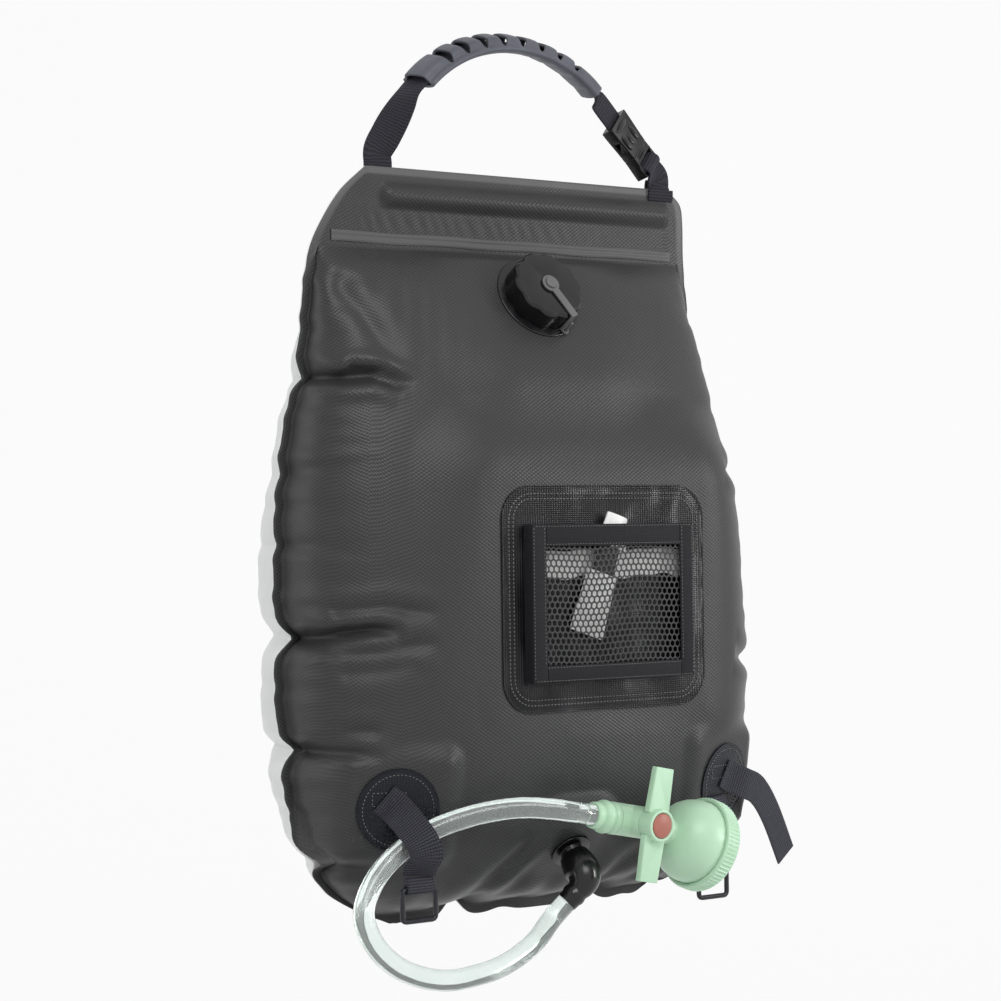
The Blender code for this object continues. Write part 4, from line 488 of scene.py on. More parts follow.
def smoothRoute(rows, count):
    # even steps along a smooth curve through the rows, whatever each row holds after its place
    rows = np.array(rows, float)
    ends = np.vstack([2 * rows[0] - rows[1], rows, 2 * rows[-1] - rows[-2]])
    dense = []
    for index in range(1, len(ends) - 2):
        before, start, end, after = ends[index - 1 : index + 3]
        for t in np.linspace(0, 1, 24, endpoint=False):
            dense.append(0.5 * (2 * start + (end - before) * t
                                + (2 * before - 5 * start + 4 * end - after) * t * t
                                + (3 * start - 3 * end + after - before) * t ** 3))
    dense = np.array([*dense, rows[-1]])
    lengths = lengthsAlong(dense[:, :3])
    walk = np.linspace(0, lengths[-1], count)
    return np.stack([np.interp(walk, lengths, column) for column in dense.T], axis=1), lengths[-1]


webbing = {"width": 0.025, "thickness": 0.0016, "cells": 8}


def tapePiece(name, rows, material, count):
    # webbing along rows of (place, facing), with its own map
    width, thickness = webbing["width"], webbing["thickness"]
    route, length = smoothRoute(rows, count)
    centres, facings = route[:, :3], route[:, 3:6]
    along = np.gradient(centres, axis=0)
    along /= np.linalg.norm(along, axis=1)[:, None]
    facings = facings - along * (facings * along).sum(1)[:, None]
    facings /= np.linalg.norm(facings, axis=1)[:, None]
    sides = np.cross(facings, along)
    shares = np.linspace(-1, 1, webbing["cells"] + 1)
    places = centres[:, None] + sides[:, None] * (shares * width / 2)[None, :, None]
    maps = [[((share + 1) * width / 2, length * row / (count - 1)) for share in shares]
            for row in range(count)]
    mesh = sheetMesh(places, maps)
    piece = keep(mesh, name, material, 180, recalc=False)
    thicken(piece, thickness)
    softenRim(piece, thickness * 0.3)
    return piece


def roundedOutline(width, height, corner, steps):
    points = []
    for quarter, (sideX, sideY) in enumerate(((1, 1), (-1, 1), (-1, -1), (1, -1))):
        for step in range(steps + 1):
            angle = math.pi / 2 * (quarter + step / steps)
            points.append((sideX * (width / 2 - corner) + corner * math.cos(angle),
                           sideY * (height / 2 - corner) + corner * math.sin(angle)))
    return points


def sewOn(name, seat, stitch, lines, closed=True):
    # small thread loops along lines of (across, up) points on the seat
    height, pitch, long, thick = stitch
    normal = seat.to_3x3() @ Vector((0, 0, 1))
    size = Matrix.Diagonal((long / 2, thick / 2, thick / 2, 1))
    mesh = bmesh.new()
    for line in lines:
        points = np.array([seat @ Vector((x, y, height)) for x, y in ([*line, line[0]] if closed else line)])
        lengths = lengthsAlong(points)
        count = max(int(lengths[-1] / pitch), 1)
        for index in range(count):
            middle = (index + 0.5) * lengths[-1] / count
            here, ahead = [np.array([np.interp(place, lengths, points[:, k]) for k in range(3)])
                           for place in (middle - long / 2, middle + long / 2)]
            along = Vector(ahead - here).normalized()
            out = (normal - along * normal.dot(along)).normalized()
            place = seatAt((here + ahead) / 2, along, out.cross(along), out)
            bmesh.ops.create_icosphere(mesh, subdivisions=1, radius=1, matrix=place @ size)
    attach(keep(mesh, name, stitchThread, 180), "bag")


def pathFrames(route, radii):
    # rings that stay square to a path without twisting round it
    along = np.gradient(np.array(route, float), axis=0)
    along /= np.linalg.norm(along, axis=1)[:, None]
    first = np.array(Vector(along[0]).orthogonal().normalized())
    frames = []
    for place, forward, radius in zip(route, along, radii):
        first = first - forward * (first @ forward)
        first /= np.linalg.norm(first)
        frames.append((Vector(place), Vector(first * radius), Vector(np.cross(forward, first) * radius)))
    return frames


def sweepTube(mesh, frames, sides):
    # one circle drawn along the frames, and the edges of its first and last ring
    ring = bmesh.ops.create_circle(mesh, cap_ends=False, segments=sides, radius=1)["verts"]
    units = {vert: vert.co.copy() for vert in ring}
    edges = list(dict.fromkeys(edge for vert in ring for edge in vert.link_edges))
    firstEdges = edges
    for index, (place, first, second) in enumerate(frames):
        if index:
            spots = {tuple(vert.co): unit for vert, unit in units.items()}
            made = bmesh.ops.extrude_edge_only(mesh, edges=edges)
            units = {vert: spots[tuple(vert.co)] for vert in vertsIn(made)}
            edges = [item for item in made["geom"] if isinstance(item, bmesh.types.BMEdge)
                     and all(vert in units for vert in item.verts)]
        for vert, unit in units.items():
            vert.co = place + first * unit.x + second * unit.y
    return firstEdges, edges


# Clear hose: a circle swept along the photographed loop, from the elbow to the shower head

hose = {"radius": 0.008, "bore": 0.0056, "length": 0.445, "steps": 160, "sides": 28, "route": (
    (-0.01696, -0.09045, -0.67916), (-0.02493, -0.08818, -0.68702), (-0.03328, -0.08968, -0.69341),
    (-0.05138, -0.10015, -0.70268), (-0.07158, -0.10613, -0.71162), (-0.09314, -0.11066, -0.7178),
    (-0.11567, -0.11318, -0.72082), (-0.13853, -0.11301, -0.72187), (-0.1607, -0.11025, -0.71739),
    (-0.18054, -0.10519, -0.70729), (-0.19449, -0.09884, -0.69054), (-0.19842, -0.09161, -0.66965),
    (-0.18756, -0.08545, -0.65063), (-0.17095, -0.08163, -0.63545), (-0.1523, -0.08333, -0.62236),
    (-0.13222, -0.0878, -0.61237), (-0.11093, -0.09321, -0.60592), (-0.08954, -0.10018, -0.60172),
    (-0.06836, -0.1087, -0.59999), (-0.04757, -0.11805, -0.60175), (-0.03728, -0.1227, -0.60365),
    (-0.02663, -0.1244, -0.6057), (-0.01552, -0.12326, -0.60798))}


def makeHose():
    route, length = smoothRoute(hose["route"], hose["steps"])
    mesh = bmesh.new()
    ends = [sweepTube(mesh, pathFrames(route, [radius] * len(route)), hose["sides"])
            for radius in (hose["radius"], hose["bore"])]
    for outer, inner in zip(*ends):
        bmesh.ops.bridge_loops(mesh, edges=outer + inner)
    piece = keep(mesh, "clearHose", hoseVinyl, 60)
    standFor(piece, "bag", "hose")
    print("hose", round(length, 4))


makeHose()

# The two panels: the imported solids' own surfaces, with seam notches, folds and puckers

bag = {
    "drop": 0.1025, "header": 0.0645, "height": 0.594, "half": 0.222, "seam": 0.008, "wall": 0.0012,
    "gap": 0.0003, "front": 0.086, "back": 0.104, "rodDepth": 0.022, "rodLeft": 0.116974,
    "rodRight": 0.15002, "tunnelRise": 0.0073, "tunnelHalf": 0.0122, "tunnelMargin": 0.008,
    "fade": 0.006, "columns": 170, "rows": 230, "seamColumns": 4, "headerRows": 0.17, "seamRows": 0.975,
    "flat": (0.5, 0.66),
    "leftEdge": ((0.0, 0.617), (0.035, 0.721), (0.082, 0.806), (0.116, 0.847), (0.168, 0.874),
                 (0.234, 0.892), (0.305, 0.932), (0.402, 0.982), (0.517, 1.0), (0.697, 1.0),
                 (0.813, 0.973), (0.899, 0.914), (0.948, 0.82), (0.975, 0.72), (1.0, 0.56)),
    "rightEdge": ((0.0, 0.71), (0.018, 0.768), (0.04, 0.782), (0.101, 0.784), (0.168, 0.8),
                  (0.204, 0.82), (0.274, 0.851), (0.38, 0.9), (0.473, 0.95), (0.572, 0.973),
                  (0.673, 0.986), (0.761, 0.973), (0.875, 0.937), (0.923, 0.883), (0.963, 0.766),
                  (1.0, 0.56)),
    "bulge": ((0.0, 0.0), (0.03, 0.22), (0.07, 0.4), (0.14, 0.58), (0.25, 0.77), (0.4, 0.93),
              (0.55, 1.0), (0.75, 1.0), (0.86, 0.92), (0.93, 0.75), (0.975, 0.48), (1.0, 0.0)),
    # (across, depth, half width, half height, rise, slope across, slope down, blend) of the stiff flats
    "flats": ((0, 0.102, 0.037, 0.037, 0.034933, 0, 0.531709, 0.075),
              (0.027, 0.341, 0.0975, 0.0885, 0.084344, 0, 0, 0.075),
              (-0.155, 0.496, 0.032, 0.032, 0.068383, 0.339442, -0.177961, 0.02),
              (0.155, 0.496, 0.032, 0.032, 0.067897, -0.354807, -0.162222, 0.02),
              (0, 0.538, 0.0165, 0.0165, 0.070772, 0, -0.900404, 0.03)),
    # (place, up, out, radius) of the holes in the front, for the filler and the outlet
    "holes": (((0, -0.036143, -0.203937), (0, 0.469472, 0.882948), (0, -0.882948, 0.469472), 0.0205),
              ((0, -0.071814, -0.641303), (0, -0.669131, 0.743145), (0, -0.743145, -0.669131), 0.008)),
    # highlightEnd sets how far down the painted highlight on the header's welds fades out
    "holeReach": 0.006, "highlightEnd": 0.08, "topWeld": 0.0055, "topFade": 0.0012, "seamFade": 0.002,
}
# each notch of the side seam: (depth, how far in, half height)
leftNotches = ((0.168, 0.009, 0.007), (0.243, 0.003, 0.006), (0.296, 0.002, 0.006), (0.367, 0.017, 0.009),
               (0.453, 0.013, 0.009), (0.5, 0.003, 0.006), (0.541, 0.009, 0.008))
rightNotches = ((0.115, 0.003, 0.006), (0.19, 0.002, 0.006), (0.243, 0.005, 0.007), (0.33, 0.003, 0.008),
                (0.398, 0.006, 0.008), (0.452, 0.004, 0.007), (0.53, 0.006, 0.008))
# folds of the front: (depth of the fold, half width, route of (across, depth) from the seam inwards)
folds = (
    (0.0135, 0.0048, ((-0.204, 0.168), (-0.182, 0.17), (-0.158, 0.169), (-0.146, 0.174), (-0.138, 0.18))),
    (0.0060, 0.0040, ((-0.172, 0.162), (-0.15, 0.164), (-0.13, 0.176))),
    (0.0170, 0.0052, ((-0.222, 0.369), (-0.2, 0.366), (-0.19, 0.362), (-0.172, 0.36), (-0.152, 0.362))),
    (0.0052, 0.0050, ((-0.195, 0.347), (-0.165, 0.344), (-0.125, 0.349))),
    (0.0060, 0.0055, ((-0.198, 0.378), (-0.165, 0.376), (-0.125, 0.371))),
    (0.0040, 0.0060, ((-0.19, 0.392), (-0.16, 0.39), (-0.14, 0.386))),
    (0.0130, 0.0052, ((-0.222, 0.455), (-0.205, 0.452), (-0.186, 0.455), (-0.165, 0.46))),
    (0.0050, 0.0050, ((-0.206, 0.442), (-0.186, 0.438), (-0.168, 0.437))),
    (0.0045, 0.0045, ((-0.206, 0.466), (-0.18, 0.468), (-0.165, 0.472))),
    (0.0100, 0.0060, ((-0.196, 0.546), (-0.18, 0.54), (-0.16, 0.54))),
    (0.0070, 0.0080, ((-0.086, 0.582), (-0.062, 0.556), (-0.03, 0.524), (-0.012, 0.506))),
    (0.0055, 0.0070, ((-0.058, 0.582), (-0.036, 0.562), (-0.01, 0.53))),
    (0.0060, 0.0070, ((0.07, 0.582), (0.09, 0.565), (0.118, 0.545))),
    (0.0045, 0.0060, ((0.03, 0.584), (0.05, 0.566), (0.078, 0.54))),
    (0.0080, 0.0060, ((0.21, 0.398), (0.19, 0.396), (0.165, 0.39))),
    (0.0070, 0.0055, ((0.2, 0.243), (0.18, 0.242), (0.16, 0.236))),
    (0.0060, 0.0060, ((0.205, 0.53), (0.185, 0.524), (0.165, 0.522))),
    (0.0035, 0.0080, ((-0.17, 0.1), (-0.15, 0.135), (-0.14, 0.16))),
)
# the sheet stands up beside each fold, in shares of the fold's depth and half width
shoulder = {"rise": 0.3, "out": 2.3, "half": 1.3}
# every third fold of the front's left side shows again, weaker and wider, on the back
echo = {"across": 1.02, "down": 0.012, "share": 0.6, "half": 1.6}
# puckers beside the side seams: (depth down the bag, how far the pucker sinks in)
puckers = ((0.09, 0.0022), (0.115, 0.0018), (0.14, 0.0026), (0.205, 0.0026), (0.222, 0.002), (0.238, 0.003),
           (0.255, 0.0018), (0.275, 0.0024), (0.3, 0.0022), (0.322, 0.002), (0.342, 0.0028), (0.39, 0.0028),
           (0.41, 0.002), (0.43, 0.0026), (0.48, 0.0028), (0.5, 0.0022), (0.52, 0.0026), (0.56, 0.002))
pucker = {"reach": 0.022, "varies": 0.01, "fan": 0.12, "half": 0.0042, "share": 0.75,
          "rightShare": 0.4, "rightHalf": 0.005, "rightDown": 0.01}
# heights of the slow waves that the formulas below spread over the sheets
waveHeights = {"seam": 0.0003, "seamSlow": 0.0006, "pleats": 0.0009, "dents": 0.0016, "gathers": 0.0022,
               "header": 0.0004, "back": 0.004, "backSlow": 0.002}
# (turn, sway, slow turn) of the waves that sway as they cross the bag
crests = {"pleats": (330, 1.5, 60), "gathers": (150, 2.2, 40), "header": (520, 1.2, 90),
          "back": (42, 1.3, 22)}
# how far those waves and the lobes reach: from the header, the bottom seam, and round the stiff flats
reaches = {"pleats": 0.05, "gathers": 0.045, "flats": 0.02, "bulge": 0.012, "back": 0.03, "lobes": 0.049}
# where the header's ripples stand, and the width over which they fade out at the left
ripples = {"slant": 0.5, "middle": 0.043, "half": 0.007, "right": 0.1, "left": 0.15, "fade": 0.02}
# lobes of the bottom seam: (across, how far up, half width)
bottomLobes = ((-0.165, 0.004, 0.014), (-0.066, 0.014, 0.011), (-0.02, 0.003, 0.012), (0.062, 0.01, 0.012),
               (0.128, 0.008, 0.012), (0.1, 0.002, 0.01))


def inShare(values):
    return np.clip(values, 0, 1)


def hump(off):
    return np.exp(-off ** 2)


def swayed(name, place, x):
    turn, sway, slow = crests[name]
    return np.sin(place * turn + sway * np.sin(x * slow))


def tableOf(points):
    # a table of shares read through a smooth curve that passes its points
    places, values = np.array([p[0] for p in points]), np.array([p[1] for p in points])
    slopes = np.array([(values[min(k + 1, len(values) - 1)] - values[max(k - 1, 0)])
                       / (places[min(k + 1, len(values) - 1)] - places[max(k - 1, 0)])
                       for k in range(len(values))])
    fine = np.linspace(0, 1, 2001)
    cell = np.clip(np.searchsorted(places, fine, side="right") - 1, 0, len(places) - 2)
    width = places[cell + 1] - places[cell]
    t = (fine - places[cell]) / width
    read = ((2 * t ** 3 - 3 * t ** 2 + 1) * values[cell] + (t ** 3 - 2 * t ** 2 + t) * slopes[cell] * width
            + (3 * t ** 2 - 2 * t ** 3) * values[cell + 1] + (t ** 3 - t ** 2) * slopes[cell + 1] * width)
    return lambda share: np.interp(share, fine, read)


leftShares, rightShares, bulgeShares = [tableOf(bag[key]) for key in ("leftEdge", "rightEdge", "bulge")]


def edgeOf(depth, side):
    shares = rightShares if side > 0 else leftShares
    return bag["half"] * shares(inShare(depth / bag["height"]))


def notchOf(depth, side):
    total = np.zeros_like(depth)
    for middle, inwards, half in (rightNotches if side > 0 else leftNotches):
        total += inwards * np.exp(-np.abs((depth - middle) / half) ** 1.4)
    wobble = waveHeights["seam"] * np.sin(depth * 410 + side)
    wobble += waveHeights["seamSlow"] * np.sin(depth * 233 + 2)
    return total + wobble * inShare((depth - bag["header"]) / 0.03)


def bulgeOf(share, depth, height):
    along = (depth - bag["header"]) / (bag["height"] - bag["seam"] - bag["header"])
    inside = (along > 0) & (along < 1)
    crown = inShare(1 - np.abs(share) ** 3) ** (1 / 3)
    return height * np.clip(bulgeShares(inShare(along)), 0, None) * crown * inside


def tunnelOf(x, depth):
    off = np.abs(depth - bag["rodDepth"]) / bag["tunnelHalf"]
    past = np.maximum(np.maximum(x - bag["rodRight"], -bag["rodLeft"] - x), 0) / bag["tunnelMargin"]
    return bag["tunnelRise"] * inShare(1 - off * off) ** 2 * inShare(1 - past * past)


def nearRoute(x, depth, route):
    # distance to a line of points, and how far along it: 0 at its start and 1 at its end
    best, place = np.full(x.shape, 9.0), np.zeros(x.shape)
    lengths = [math.dist(a, b) for a, b in zip(route, route[1:])]
    done = 0
    for (x0, d0), (x1, d1), length in zip(route, route[1:], lengths):
        t = inShare(((x - x0) * (x1 - x0) + (depth - d0) * (d1 - d0)) / length ** 2)
        off = np.hypot(x - x0 - t * (x1 - x0), depth - d0 - t * (d1 - d0))
        closer = off < best
        best, place = np.where(closer, off, best), np.where(closer, (done + t * length) / sum(lengths), place)
        done += length
    return best, place


def foldsOf(x, depth):
    total = np.zeros_like(x)
    for sink, half, route in folds:
        off, place = nearRoute(x, depth, route)
        taper = np.sqrt(inShare(1 - place ** 2))
        total -= sink * taper * hump(off / half)
        total += (shoulder["rise"] * sink * taper
                  * hump((off - shoulder["out"] * half) / (shoulder["half"] * half)))
    leftIn = x + edgeOf(depth, -1) - bag["seam"]
    for middle, sink in puckers:
        reach = pucker["reach"] + pucker["varies"] * math.sin(middle * 90)
        off = ((depth - middle) + pucker["fan"] * leftIn * math.sin(middle * 57)) / pucker["half"]
        total -= pucker["share"] * sink * hump(off) * hump(leftIn / reach)
    rightIn = edgeOf(depth, 1) - bag["seam"] - x
    for middle, sink in puckers[::2]:
        off = (depth - middle - pucker["rightDown"]) / pucker["rightHalf"]
        total -= pucker["rightShare"] * sink * hump(off) * hump(rightIn / pucker["reach"])
    # soft pleats that fan out below the header's lower weld, most at the left
    below = np.clip((depth - bag["header"]) / reaches["pleats"], 0, None)
    pleats = swayed("pleats", x + 0.25 * (depth - 0.065), x) * np.exp(-below ** 1.3)
    total += waveHeights["pleats"] * pleats * np.clip(-0.1 - x * 8, 0.04, 1.0) * (below > 0)
    # slow dents of the full bag and gathers above the bottom seam
    total += waveHeights["dents"] * np.sin(x * 21 + 1) * np.sin(depth * 17 + 0.6) * inShare(below)
    low = np.clip((bag["height"] - depth) / reaches["gathers"], 0, None)
    total += waveHeights["gathers"] * swayed("gathers", x, x) * hump(low)
    return total


def flatsOf(x, depth, rise):
    # the stiff flats stay as they are packed, whatever the sheet does round them
    loose = np.ones_like(x)
    for centre, middle, halfX, halfZ, height, right, down, blend in bag["flats"]:
        offX, offZ = np.maximum(np.abs(x - centre) - halfX, 0), np.maximum(np.abs(depth - middle) - halfZ, 0)
        off = inShare(np.hypot(offX, offZ) / blend)
        below = inShare((depth - bag["header"]) / bag["fade"])
        weight = (1 - off * off * (3 - 2 * off)) * below
        plane = np.maximum(height + right * (x - centre) + down * (depth - middle), 0)
        rise = rise + (plane - rise) * weight
        loose = np.minimum(loose, inShare(np.hypot(offX, offZ) / reaches["flats"]))
    return rise, loose


def panelPlaces(side):
    columns, rows = bag["columns"], bag["rows"]
    share = np.linspace(0, 1, columns + 1)
    flange = bag["seamColumns"] / columns
    inner = inShare((share - flange) / (1 - 2 * flange))
    across = -np.cos(math.pi * inner)[None, :]
    band = ((inShare(share / flange) - 1) + inShare((share - 1 + flange) / flange))[None, :]
    down = np.linspace(0, 1, rows + 1)
    depth = np.interp(down, [0, bag["headerRows"], bag["seamRows"], 1],
                      [0, bag["header"], bag["height"] - bag["seam"], bag["height"]])
    depth = np.repeat(depth[:, None], columns + 1, axis=1)
    left, right = edgeOf(depth, -1), edgeOf(depth, 1)
    leftNotch, rightNotch = notchOf(depth, -1), notchOf(depth, 1)
    pull = np.abs(across) ** 7
    inside = np.abs(band) < 0.001
    x = np.where(across > 0, across * (right - bag["seam"]) - rightNotch * pull,
                 across * (left - bag["seam"]) + leftNotch * pull) + band * bag["seam"]
    if side < 0:
        rise = np.maximum(bulgeOf(across, depth, bag["front"]), tunnelOf(x, depth))
        bare = rise
        rise, loose = flatsOf(x, depth, rise)
        free = inShare(bare / reaches["bulge"]) * loose * inside
        rise = np.maximum(rise + foldsOf(x, depth) * free, 0.0)
        # the header's weave stands in soft slanting ripples between the two welds
        ripple = swayed("header", x - ripples["slant"] * depth, x)
        ripple *= hump((depth - ripples["middle"]) / ripples["half"])
        reach = inShare((ripples["right"] - x) / ripples["right"])
        reach *= inShare((ripples["left"] + x) / ripples["fade"])
        rise += waveHeights["header"] * (1 + ripple) * reach * inside
    else:
        rise = bulgeOf(across, depth, bag["back"])
        soft = waveHeights["back"] * swayed("back", depth, x) * np.abs(across) ** 2
        soft += waveHeights["backSlow"] * np.sin(x * 55 + depth * 18)
        for sink, half, route in folds[:10:3]:
            off, place = nearRoute(x, depth, [(a * echo["across"], b + echo["down"]) for a, b in route])
            soft -= echo["share"] * sink * inShare(1 - place) * hump(off / (echo["half"] * half))
        rise = np.maximum(rise + soft * inShare(rise / reaches["back"]), 0)
    lift = np.zeros_like(x)
    for middle, up, half in bottomLobes:
        lift += up * hump((x - middle) / half)
    lift *= inShare((depth - bag["height"]) / reaches["lobes"] + 1) ** 2
    y = side * (bag["gap"] / 2 + rise)
    border = inShare(np.abs(band) * 3)
    border = np.maximum(border, inShare(1 - (depth - bag["topWeld"]) / bag["topFade"]))
    border = np.maximum(border, inShare((depth - bag["height"] + bag["seam"]) / bag["seamFade"]))
    return np.stack([x, y, -depth - bag["drop"] + lift], axis=2), border


def makePanels():
    for name, node, side, material in (("frontSheet", "front_panel", -1, darkCloth),
                                       ("backSheet", "back_panel", 1, milkyVinyl)):
        places, border = panelPlaces(side)
        # painted highlight: the weld mark is full along the top edge and the upper seam flanges, and fades
        # out just below the header, so the lower seams and the bottom seam get none
        paintedHighlight = np.clip(1.3 - (-places[:, :, 2] - bag["drop"]) / bag["highlightEnd"], 0.0, 1.0)
        mesh = sheetMesh(places, marks=border * paintedHighlight)
        for place, up, out, radius in bag["holes"] if side < 0 else ():
            toSeat = seatAt(place, (1, 0, 0), up, out).inverted()
            inHole = [vert for vert in mesh.verts if (toSeat @ vert.co).xy.length < radius
                      and abs((toSeat @ vert.co).z) < bag["holeReach"]]
            bmesh.ops.delete(mesh, geom=inHole, context="VERTS")
        turnTowards(mesh, 1, side)
        area = areaOf(mesh)
        piece = keep(mesh, name, material, 180, recalc=False)
        thicken(piece, bag["wall"], 1)
        standFor(piece, "bag", node)
        print(name, "area", round(area, 4), "flat", bag["flat"])


makePanels()

# Webbing of the handle, one piece from behind the header to the buckle, and the loop at its other end

handleRows = (
    (-0.12397, 0.0026, -0.1365, 0, -1, 0), (-0.12397, 0.0026, -0.118, 0, -1, 0),
    (-0.12397, 0.0026, -0.0999, 0, -1, 0), (-0.12397, 0.0026, -0.0897, -0.008, -1, -0.027),
    (-0.11724, 0.00195, -0.07776, -0.29, -0.95, 0.112), (-0.11051, 0.0013, -0.06581, -0.53, -0.809, 0.255),
    (-0.10377, 0.00065, -0.05387, -0.718, -0.588, 0.373), (-0.09704, 0, -0.04192, -0.772, -0.308, 0.556),
    (-0.08776, 0, -0.03198, -0.683, -0.309, 0.662), (-0.07222, 0, -0.01798, -0.572, -0.309, 0.76),
    (-0.05448, 0, -0.0069, -0.432, -0.309, 0.847), (-0.03508, 0, 0.00094, -0.278, -0.309, 0.91),
    (-0.01462, 0, 0.00529, -0.116, -0.309, 0.944), (0.00628, 0, 0.00602, 0.05, -0.309, 0.95),
    (0.02699, 0, 0.00311, 0.214, -0.309, 0.927), (0.04689, 0, -0.00336, 0.372, -0.309, 0.875),
    (0.06536, 0, -0.01318, 0.518, -0.309, 0.798), (0.08184, 0, -0.02606, 0.635, -0.309, 0.708),
    (0.08427, 0, -0.02857, 0.585, -0.581, 0.565), (0.0867, 0, -0.03109, 0.433, -0.799, 0.418),
    (0.08879, 0, -0.03325, 0.269, -0.927, 0.26), (0.10963, 0, -0.05483, 0.269, -0.927, 0.26))
loopRows = (
    (0.13239, 0.00487, -0.08123, -0.695, 0, 0.719), (0.13451, -0.00243, -0.07918, -0.566, -0.307, 0.765),
    (0.1386, -0.00635, -0.08114, -0.047, -0.842, 0.538), (0.14147, -0.00607, -0.08427, 0.577, -0.807, -0.129),
    (0.14264, -0.00243, -0.0876, 0.579, -0.791, -0.199), (0.15002, 0.0026, -0.0939, 0.17, -0.944, -0.284),
    (0.15002, 0.0026, -0.0999, 0, -1, 0), (0.15002, 0.0026, -0.1065, 0, -1, 0),
    (0.15002, 0.0019, -0.1112, 0, -0.6, 0.8), (0.15002, 0, -0.1124, 0, 0, 1),
    (0.15002, -0.0019, -0.1112, 0, 0.6, 0.8), (0.15002, -0.0027, -0.107, 0, 1, 0),
    (0.15002, -0.0027, -0.1028, 0, 1, 0))


def makeWebbing():
    for name, rows, used, count, across in (
            ("handleWebbing", handleRows, ("handle_strap", "left_strap_foot"), 220, -0.12397),
            ("loopWebbing", loopRows, ("buckle_loop", "right_strap_foot"), 90, 0.15002)):
        piece = tapePiece(name, rows, strapWeave, count)
        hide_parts(*used)
        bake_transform(piece)


makeWebbing()

# Grip and buckle

grip = {"radius": 0.12, "middle": -0.113818, "left": -47, "right": 43, "twist": 18, "half": 0.0175,
        "slots": 8, "pitch": 0.155, "slot": 0.068, "wall": 0.0026, "across": 61, "steps": 10, "rim": 0.0005,
        # the top from its middle out to the lip, as (across, height) shares of the half width and millimetres
        "crown": ((0, 7.6), (0.2, 7.6), (0.4, 7.4), (0.56, 6.8), (0.67, 5.6), (0.74, 4.0), (0.78, 2.4),
                  (0.83, 1.1), (0.92, 0.5), (1.0, 0.1)),
        "tray": ((1.0, -0.2), (1.02, -1.6), (0.99, -3.0), (0.9, -4.4), (0.72, -5.6), (0.45, -6.3), (0, -6.5))}


def gripFrame(angle):
    out = Vector((math.sin(angle), 0, math.cos(angle)))
    along = Vector((math.cos(angle), 0, -math.sin(angle)))
    front = Vector((0, -1, 0))
    twist = math.radians(grip["twist"])
    normal = out * math.cos(twist) + front * math.sin(twist)
    return Vector((0, 0, grip["middle"])) + out * grip["radius"], normal.cross(along), normal


def gripPoint(angle, across, height):
    centre, side, normal = gripFrame(angle)
    return centre + side * (across * grip["half"]) + normal * (height / 1000)


def makeGrip():
    # broad bridges over the webbing, each a strip between two round-ended slots that close at the rim
    left, right = math.radians(grip["left"]), math.radians(grip["right"])
    crown = [(-a, h) for a, h in grip["crown"][::-1]] + list(grip["crown"][1:])
    shares = np.linspace(-1, 1, grip["across"])
    heights = np.interp(shares, [a for a, _ in crown], [h for _, h in crown])
    halfSlot = grip["slot"] / 2 * inShare(1 - (np.abs(shares) / 0.84) ** 5) ** 0.5
    middles = [(left + right) / 2 + (k - (grip["slots"] - 1) / 2) * grip["pitch"]
               for k in range(grip["slots"])]
    mesh = bmesh.new()
    mesh.loops.layers.uv.new("UVMap")
    for start, end in zip([None, *middles], [*middles, None]):
        first = 0 * shares + left if start is None else start + halfSlot
        last = 0 * shares + right if end is None else end - halfSlot
        steps = [k / grip["steps"] for k in range(grip["steps"] + 1)]
        places = [[gripPoint(a + (b - a) * step, share, height + 0.35 * math.sin(math.pi * step))
                   for step in steps] for a, b, share, height in zip(first, last, shares, heights)]
        strip = sheetMesh(places)
        data = bpy.data.meshes.new("strip")
        strip.to_mesh(data)
        strip.free()
        mesh.from_mesh(data)
        bpy.data.meshes.remove(data)
    bmesh.ops.remove_doubles(mesh, verts=mesh.verts, dist=0.00005)
    bmesh.ops.recalc_face_normals(mesh, faces=mesh.faces)
    turnTowards(mesh, 2, 1)
    top = keep(mesh, "gripBridges", rubberSlate, 180, recalc=False)
    tray = [(a, h) for a, h in grip["tray"]] + [(-a, h) for a, h in grip["tray"][-2::-1]]
    angles = np.linspace(left + 0.004, right - 0.004, 181)
    places = []
    for angle in angles:
        ribs = 0.5 + 0.5 * math.cos((angle - middles[0]) / grip["pitch"] * 2 * math.pi)
        sink = 0.9 * ribs ** 3 * (angle > 0.1)
        places.append([gripPoint(angle, a, h + sink * (1 - abs(a)) ** 0.5 if abs(a) < 0.85 else h)
                       for a, h in tray])
    under = sheetMesh(places)
    turnTowards(under, 2, -1)
    bottom = keep(under, "gripTray", rubberSlate, 180, recalc=False)
    for piece in (top, bottom):
        thicken(piece, grip["wall"], -1)
        softenRim(piece, grip["rim"], 50)
        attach(piece, "handle")
    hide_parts("grip_shell")


makeGrip()
buckleSeat = seatAt((0.10337, 0, -0.04836), (0.69466, 0, -0.71934), (0.66696, 0.37461, 0.64408),
                    (0.26947, -0.92718, 0.26022))


def makeBuckleHalf(node, name, body, keys):
    # one moulded half: its faces sunk inside a rim, with raised pads and grip bars on the front
    out = buckleSeat.to_3x3() @ Vector((0, 0, 1))
    mesh = solidMesh(node)
    mesh.normal_update()
    broad = [face for face in mesh.faces if abs(face.normal.dot(out)) > 0.9 and face.calc_area() > 0.00015]
    bmesh.ops.inset_individual(mesh, faces=broad, thickness=0.0024, depth=-0.0007, use_even_offset=True)
    roundEdges(mesh, 0.0007, 3, 30)
    for x, y, length, width, height in keys:
        place = buckleSeat @ Matrix.Translation((x, y, 0.0047)) @ Matrix.Diagonal((length, width, height, 1))
        bmesh.ops.create_uvsphere(mesh, u_segments=24, v_segments=12, radius=1, matrix=place)
    standFor(keep(mesh, name, buckleGloss, 40), body, node)


